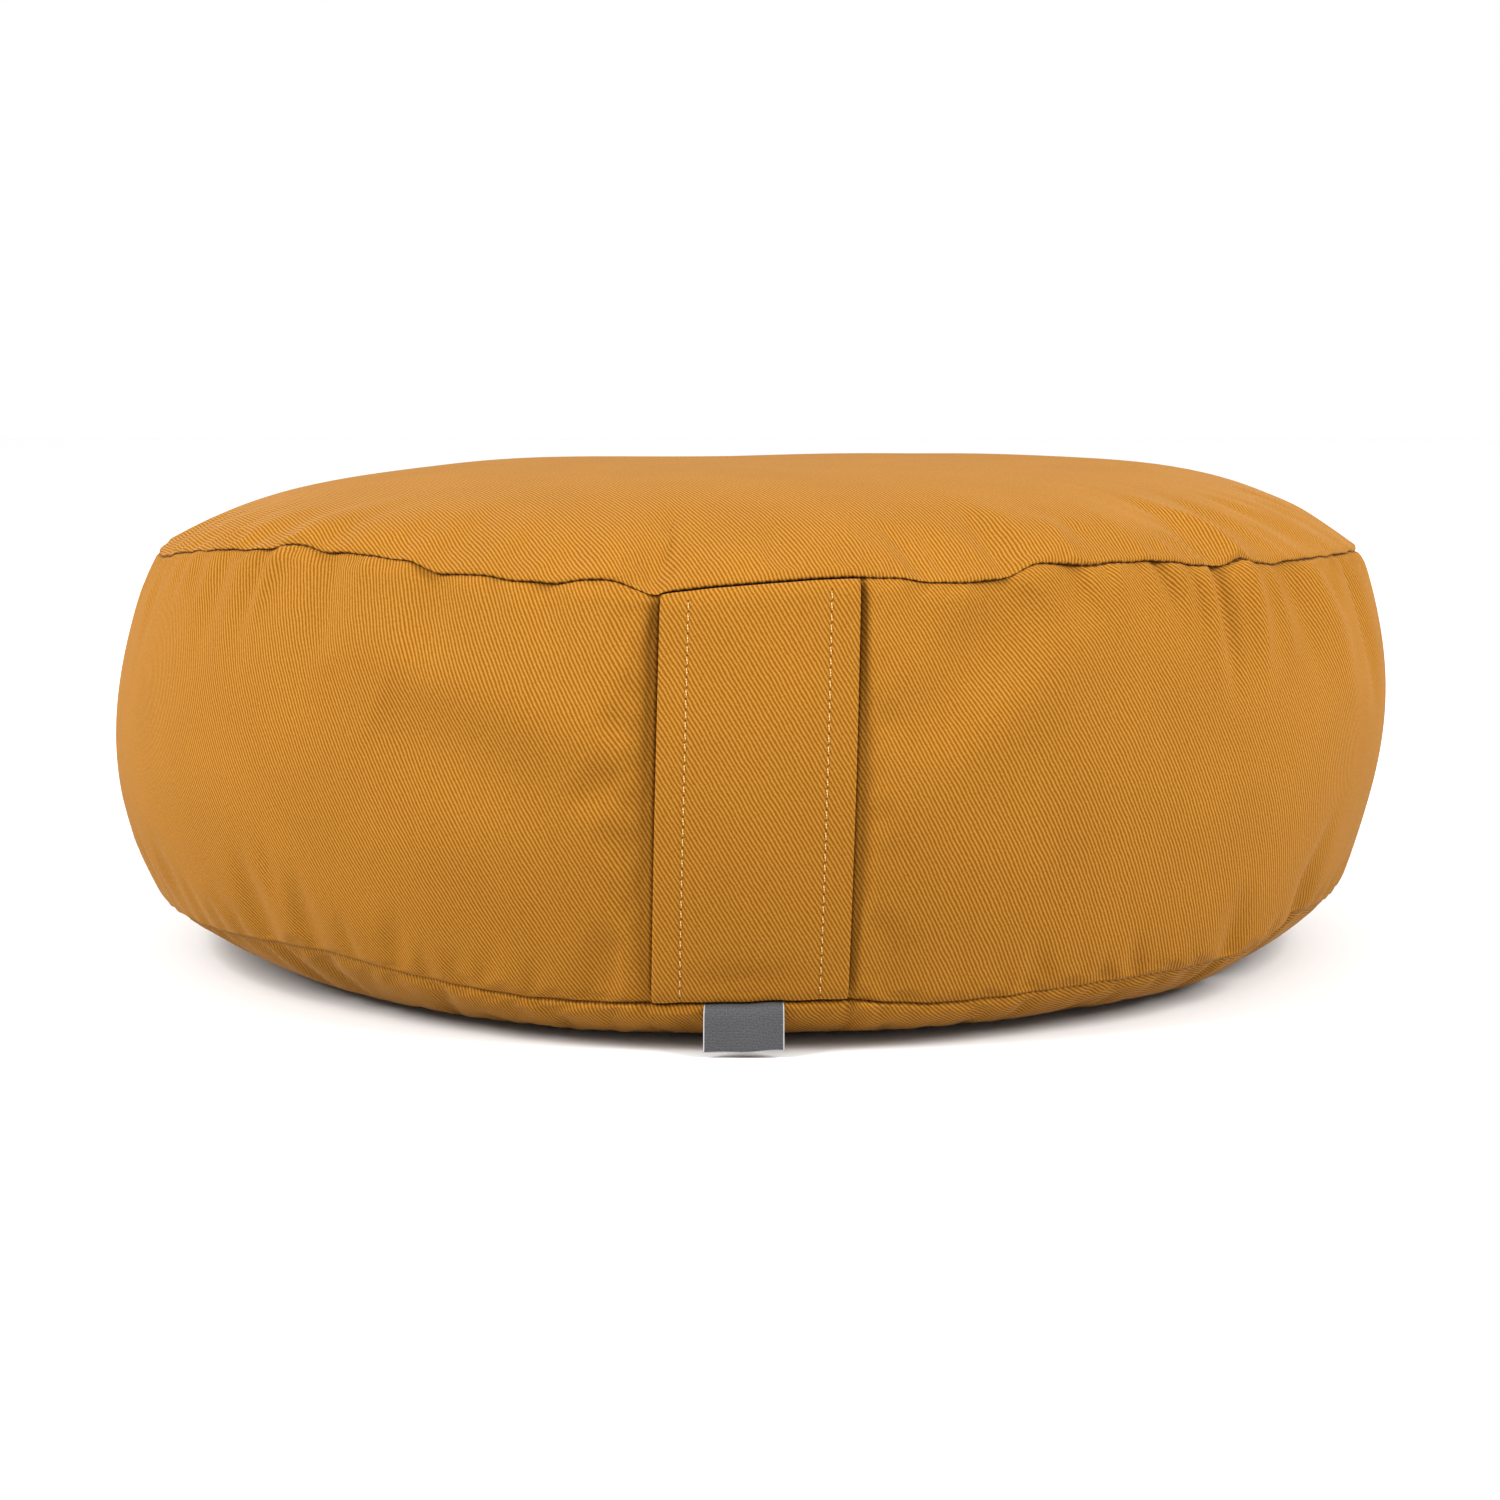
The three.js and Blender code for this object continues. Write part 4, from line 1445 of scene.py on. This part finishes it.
    def stitch_rings(self, line: float, number: int) -> Array:
        """One stitch, a short thread that bulges a little and dips into the cloth at both ends.

        Args:
            line: Its line's distance from the strap's middle, below zero on the left.
            number: Its place in the line, counted from the bottom.

        Returns:
            Points in metres, one row for each ring.
        """
        along = np.linspace(0.0, 1.0, len(self.thread_sizes))
        start = self.stitch_start + (self.stitch_pitch - self.stitch_length) / 2 + number * self.stitch_pitch
        share = (start + self.stitch_length * along) / BAND_RUN
        lift = self.thread_radius * (2.2 * np.sin(math.pi * along) ** 0.6 - 1.1)
        across = line - self.stitch_slant * (2.0 * along - 1.0)
        depth = self.relief(np.full(len(along), line), share) - lift
        middle = self.face(across, share, depth)
        out = self.face(across, share, depth - 1.0) - middle
        out /= np.linalg.norm(out, axis=1, keepdims=True)
        tangent = np.gradient(middle, axis=0)
        tangent /= np.linalg.norm(tangent, axis=1, keepdims=True)
        sideways = np.cross(tangent, out)
        angles = (math.tau * np.arange(self.thread_sides) / self.thread_sides)[:, None]
        circles = np.cos(angles) * out[:, None] + np.sin(angles) * sideways[:, None]
        sizes = self.thread_radius * MM * np.array(self.thread_sizes)
        return middle[:, None] + sizes[:, None, None] * circles

    def stitches(self) -> bpy.types.Object:
        """Builds both lines of topstitching as one mesh.

        Returns:
            The stitches.
        """
        line = self.shape.strap_width / 2 - self.stitch_inset
        count = int((BAND_RUN - 2 * self.stitch_start) / self.stitch_pitch)
        sides, rings = self.thread_sides, len(self.thread_sizes)
        points = [self.stitch_rings(side * line, number) for side in (-1.0, 1.0) for number in range(count)]
        faces: list[Sequence[int]] = []
        for base in range(0, len(points) * rings * sides, rings * sides):
            for low in range(base, base + (rings - 1) * sides, sides):
                faces += [(low + k, low + (k + 1) % sides, low + sides + (k + 1) % sides, low + sides + k)
                          for k in range(sides)]
            faces.append(range(base + sides - 1, base - 1, -1))
            faces.append(range(base + (rings - 1) * sides, base + rings * sides))
        corners = np.zeros((sum(len(face) for face in faces), 3))
        places = np.concatenate(points).reshape(-1, 3)
        return make_object("strap_topstitching", places, faces, corners, self.thread.make())

    def build(self) -> tuple[bpy.types.Object, bpy.types.Object]:
        """Builds the strap and its stitches and hands them to the frame.

        Returns:
            The strap and the stitches.
        """
        strap, stitches = self.make(), self.stitches()
        for piece in (strap, stitches):
            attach(piece, "root")
        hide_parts("carry_strap")
        return strap, stitches


@dataclass
class SideTag:
    """The small folded tape sewn into the bottom seam under the strap's foot."""

    shape: CoverShape
    finish: WovenTape
    width: float = 22.5
    centre: float = -0.5
    thickness: float = 1.1
    columns: int = 33
    rows: int = 40
    edge_round: float = 0.4
    foot_round: float = 0.5
    edge_thinning: float = 0.75
    wave: float = 0.25
    wave_turn: float = 0.35
    wave_phase: float = 0.6
    wave_from: float = 3.0
    rounding: int = 12
    path: tuple[tuple[float, float], ...] = (
        (-2.6, -0.8), (-1.0, -0.85), (0.3, -1.5), (0.8, -3.4), (1.1, -7.5), (1.5, -13.4),
    )

    def make(self) -> bpy.types.Object:
        """Builds the tag's mesh along its path, whose knots lie outwards and upwards from the bottom seam.

        Returns:
            The tag, with its rim marked in the third cloth coordinate.
        """
        side = self.width / 2
        edge = np.array([0.0, 0.15, self.edge_round])
        columns = np.concatenate([np.linspace(-side, side, self.columns), edge - side, side - edge])
        across = np.unique(np.round(columns, 4))
        knots = np.array(self.path)
        run = np.concatenate([[0.0], np.cumsum(np.hypot(*np.diff(knots, axis=0).T))])
        along = np.linspace(0.0, run[-1], self.rows)
        outwards = self.smooth_path(run, knots[:, 0], along)
        upwards = self.smooth_path(run, knots[:, 1], along)
        slope_out, slope_up = np.gradient(outwards, along), np.gradient(upwards, along)
        length = np.hypot(slope_out, slope_up)
        normal_out, normal_up = -slope_up / length, slope_out / length
        grid_across, row = np.meshgrid(across, np.arange(len(along)))
        azimuth = self.centre + np.degrees(grid_across / self.shape.bottom_radius(self.centre))
        rim = np.clip((np.abs(grid_across) - (side - self.edge_round)) / self.edge_round, 0.0, 1.0)
        foot = np.clip((along[row] - (run[-1] - self.foot_round)) / self.foot_round, 0.0, 1.0)
        half = self.thickness / 2 * np.sqrt(1.0 - self.edge_thinning * np.maximum(rim, foot) ** 2)
        wave = self.wave * np.sin(grid_across * self.wave_turn + self.wave_phase)
        wave = wave * smooth(along[row], self.wave_from, run[-1])
        faces = []
        for facing in (1.0, -1.0):
            out = half * facing + wave
            radius = self.shape.bottom_radius(azimuth) + outwards[row] + normal_out[row] * out
            height = self.shape.bottom_seam(azimuth) + upwards[row] + normal_up[row] * out
            faces.append(on_rim(azimuth, radius, height))
        # The paler yarn ends take up the outer part of each rounded edge.
        edge_share = np.maximum(rim > 0.6, foot > 0.8).astype(float)
        weave = np.stack([grid_across, along[row], edge_share], -1)
        return sheet_mesh("side_tag_tape", faces[0][::-1], faces[1][::-1], weave[::-1], self.finish.make())

    def smooth_path(self, run: Array, values: Array, along: Array) -> Array:
        """Rounds a line through the path's knots.

        Args:
            run: How far along the path each knot lies.
            values: The value at each knot.
            along: Where values are wanted.

        Returns:
            The values there.
        """
        fine = np.interp(along, run, values)
        for _ in range(self.rounding):
            fine[1:-1] = (fine[:-2] + 2.0 * fine[1:-1] + fine[2:]) / 4.0
        return fine

    def build(self) -> bpy.types.Object:
        """Builds the tag and hands it to the frame.

        Returns:
            The tag.
        """
        tag = self.make()
        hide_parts("side_tag")
        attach(tag, "root")
        return tag


class Softbox(NamedTuple):
    """A square white area light: its name, place and side in metres, and power in watts."""

    name: str
    place: tuple[float, float, float]
    side: float
    power: float


@dataclass
class Studio:
    """A white paper floor, soft lights and the camera, in metres."""

    softboxes: tuple[Softbox, ...] = (
        Softbox("left softbox", (-1.75, -0.9, 1.5), 1.2, 94.0),
        Softbox("right softbox", (1.75, -0.9, 1.5), 1.2, 86.0),
    )
    aim: tuple[float, float, float] = (0.0, 0.0, 0.08)
    surround: float = 1.0
    camera_distance: float = 1.05
    camera_height: float = 0.196
    camera_pitch: float = 7.3
    focal_pixels: float = 3112.0
    frame_pixels: float = 1500.0
    sensor: float = 36.0
    view_end: float = 50.0
    floor_half: float = 6.0
    floor_steps: tuple[float, ...] = (-1.0, -0.4, -0.15, -0.05, 0.0, 0.05, 0.15, 0.4, 1.0)

    def floor(self) -> bpy.types.Object:
        """Builds the floor as a flat sheet with a finer middle.

        Returns:
            The floor.
        """
        steps = np.array(self.floor_steps) * self.floor_half
        x, y = np.meshgrid(steps, steps)
        points = np.stack([x, y, np.zeros_like(x)], -1).reshape(-1, 3)
        count = len(steps)
        faces = [(r * count + c, r * count + c + 1, (r + 1) * count + c + 1, (r + 1) * count + c)
                 for r in range(count - 1) for c in range(count - 1)]
        weave = np.concatenate([points[list(face)] for face in faces])
        floor = make_object("paper_floor", points, faces, weave, PaperSweep().make())
        return floor

    def light(self, softbox: Softbox) -> None:
        """Adds a softbox that faces the cushion's middle.

        Args:
            softbox: The light.
        """
        lamp = bpy.data.lights.new(softbox.name, "AREA")
        lamp.shape = "SQUARE"
        lamp.size = softbox.side
        lamp.energy = softbox.power
        made = bpy.data.objects.new(softbox.name, lamp)
        made.location = softbox.place
        facing = Vector(self.aim) - made.location
        made.rotation_euler = facing.to_track_quat("-Z", "Y").to_euler()
        bpy.context.collection.objects.link(made)

    def world(self) -> None:
        """Lights the scene evenly from a white surround."""
        world = bpy.data.worlds.new("white surround")
        world.use_nodes = True
        background = world.node_tree.nodes["Background"]
        background.inputs["Color"].default_value = linear("#FFFFFF")
        background.inputs["Strength"].default_value = self.surround
        bpy.context.scene.world = world

    def camera(self) -> None:
        """Adds the camera at the photograph's angle."""
        lens = bpy.data.cameras.new("camera")
        lens.sensor_width = self.sensor
        lens.lens = self.focal_pixels / self.frame_pixels * self.sensor
        lens.clip_end = self.view_end
        made = bpy.data.objects.new("camera", lens)
        made.location = (0.0, -self.camera_distance, self.camera_height)
        made.rotation_euler = (math.radians(90.0 - self.camera_pitch), 0.0, 0.0)
        bpy.context.collection.objects.link(made)
        bpy.context.scene.camera = made

    def build(self) -> None:
        """Sets the floor, lights, surround, camera and plain colour handling."""
        self.floor()
        self.world()
        for softbox in self.softboxes:
            self.light(softbox)
        self.camera()
        bpy.context.scene.view_settings.view_transform = "Standard"


def main() -> None:
    """Builds the pieces in order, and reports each."""
    logging.basicConfig(level=logging.INFO, format="%(name)s: %(message)s")
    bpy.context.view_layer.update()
    shape = CoverShape()
    cover = FilledCover(shape, CottonTwill("cotton twill cover")).build()
    LOG.info("%s: %d faces", cover.name, len(cover.data.polygons))
    # Along the strap its wales lie a little closer, and the needle has gone through it on both lines, where
    # shade round the holes is painted.
    stitch_line = shape.strap_width / 2 - CarryStrap.stitch_inset
    strap_twill = CottonTwill("cotton twill strap", period_up=2.1, stitch_line=stitch_line)
    for piece in CarryStrap(shape, strap_twill, SewingThread()).build():
        LOG.info("%s: %d faces", piece.name, len(piece.data.polygons))
    tag = SideTag(shape, WovenTape()).build()
    LOG.info("%s: %d faces", tag.name, len(tag.data.polygons))
    Studio().build()


if __name__ == "__main__":
    main()
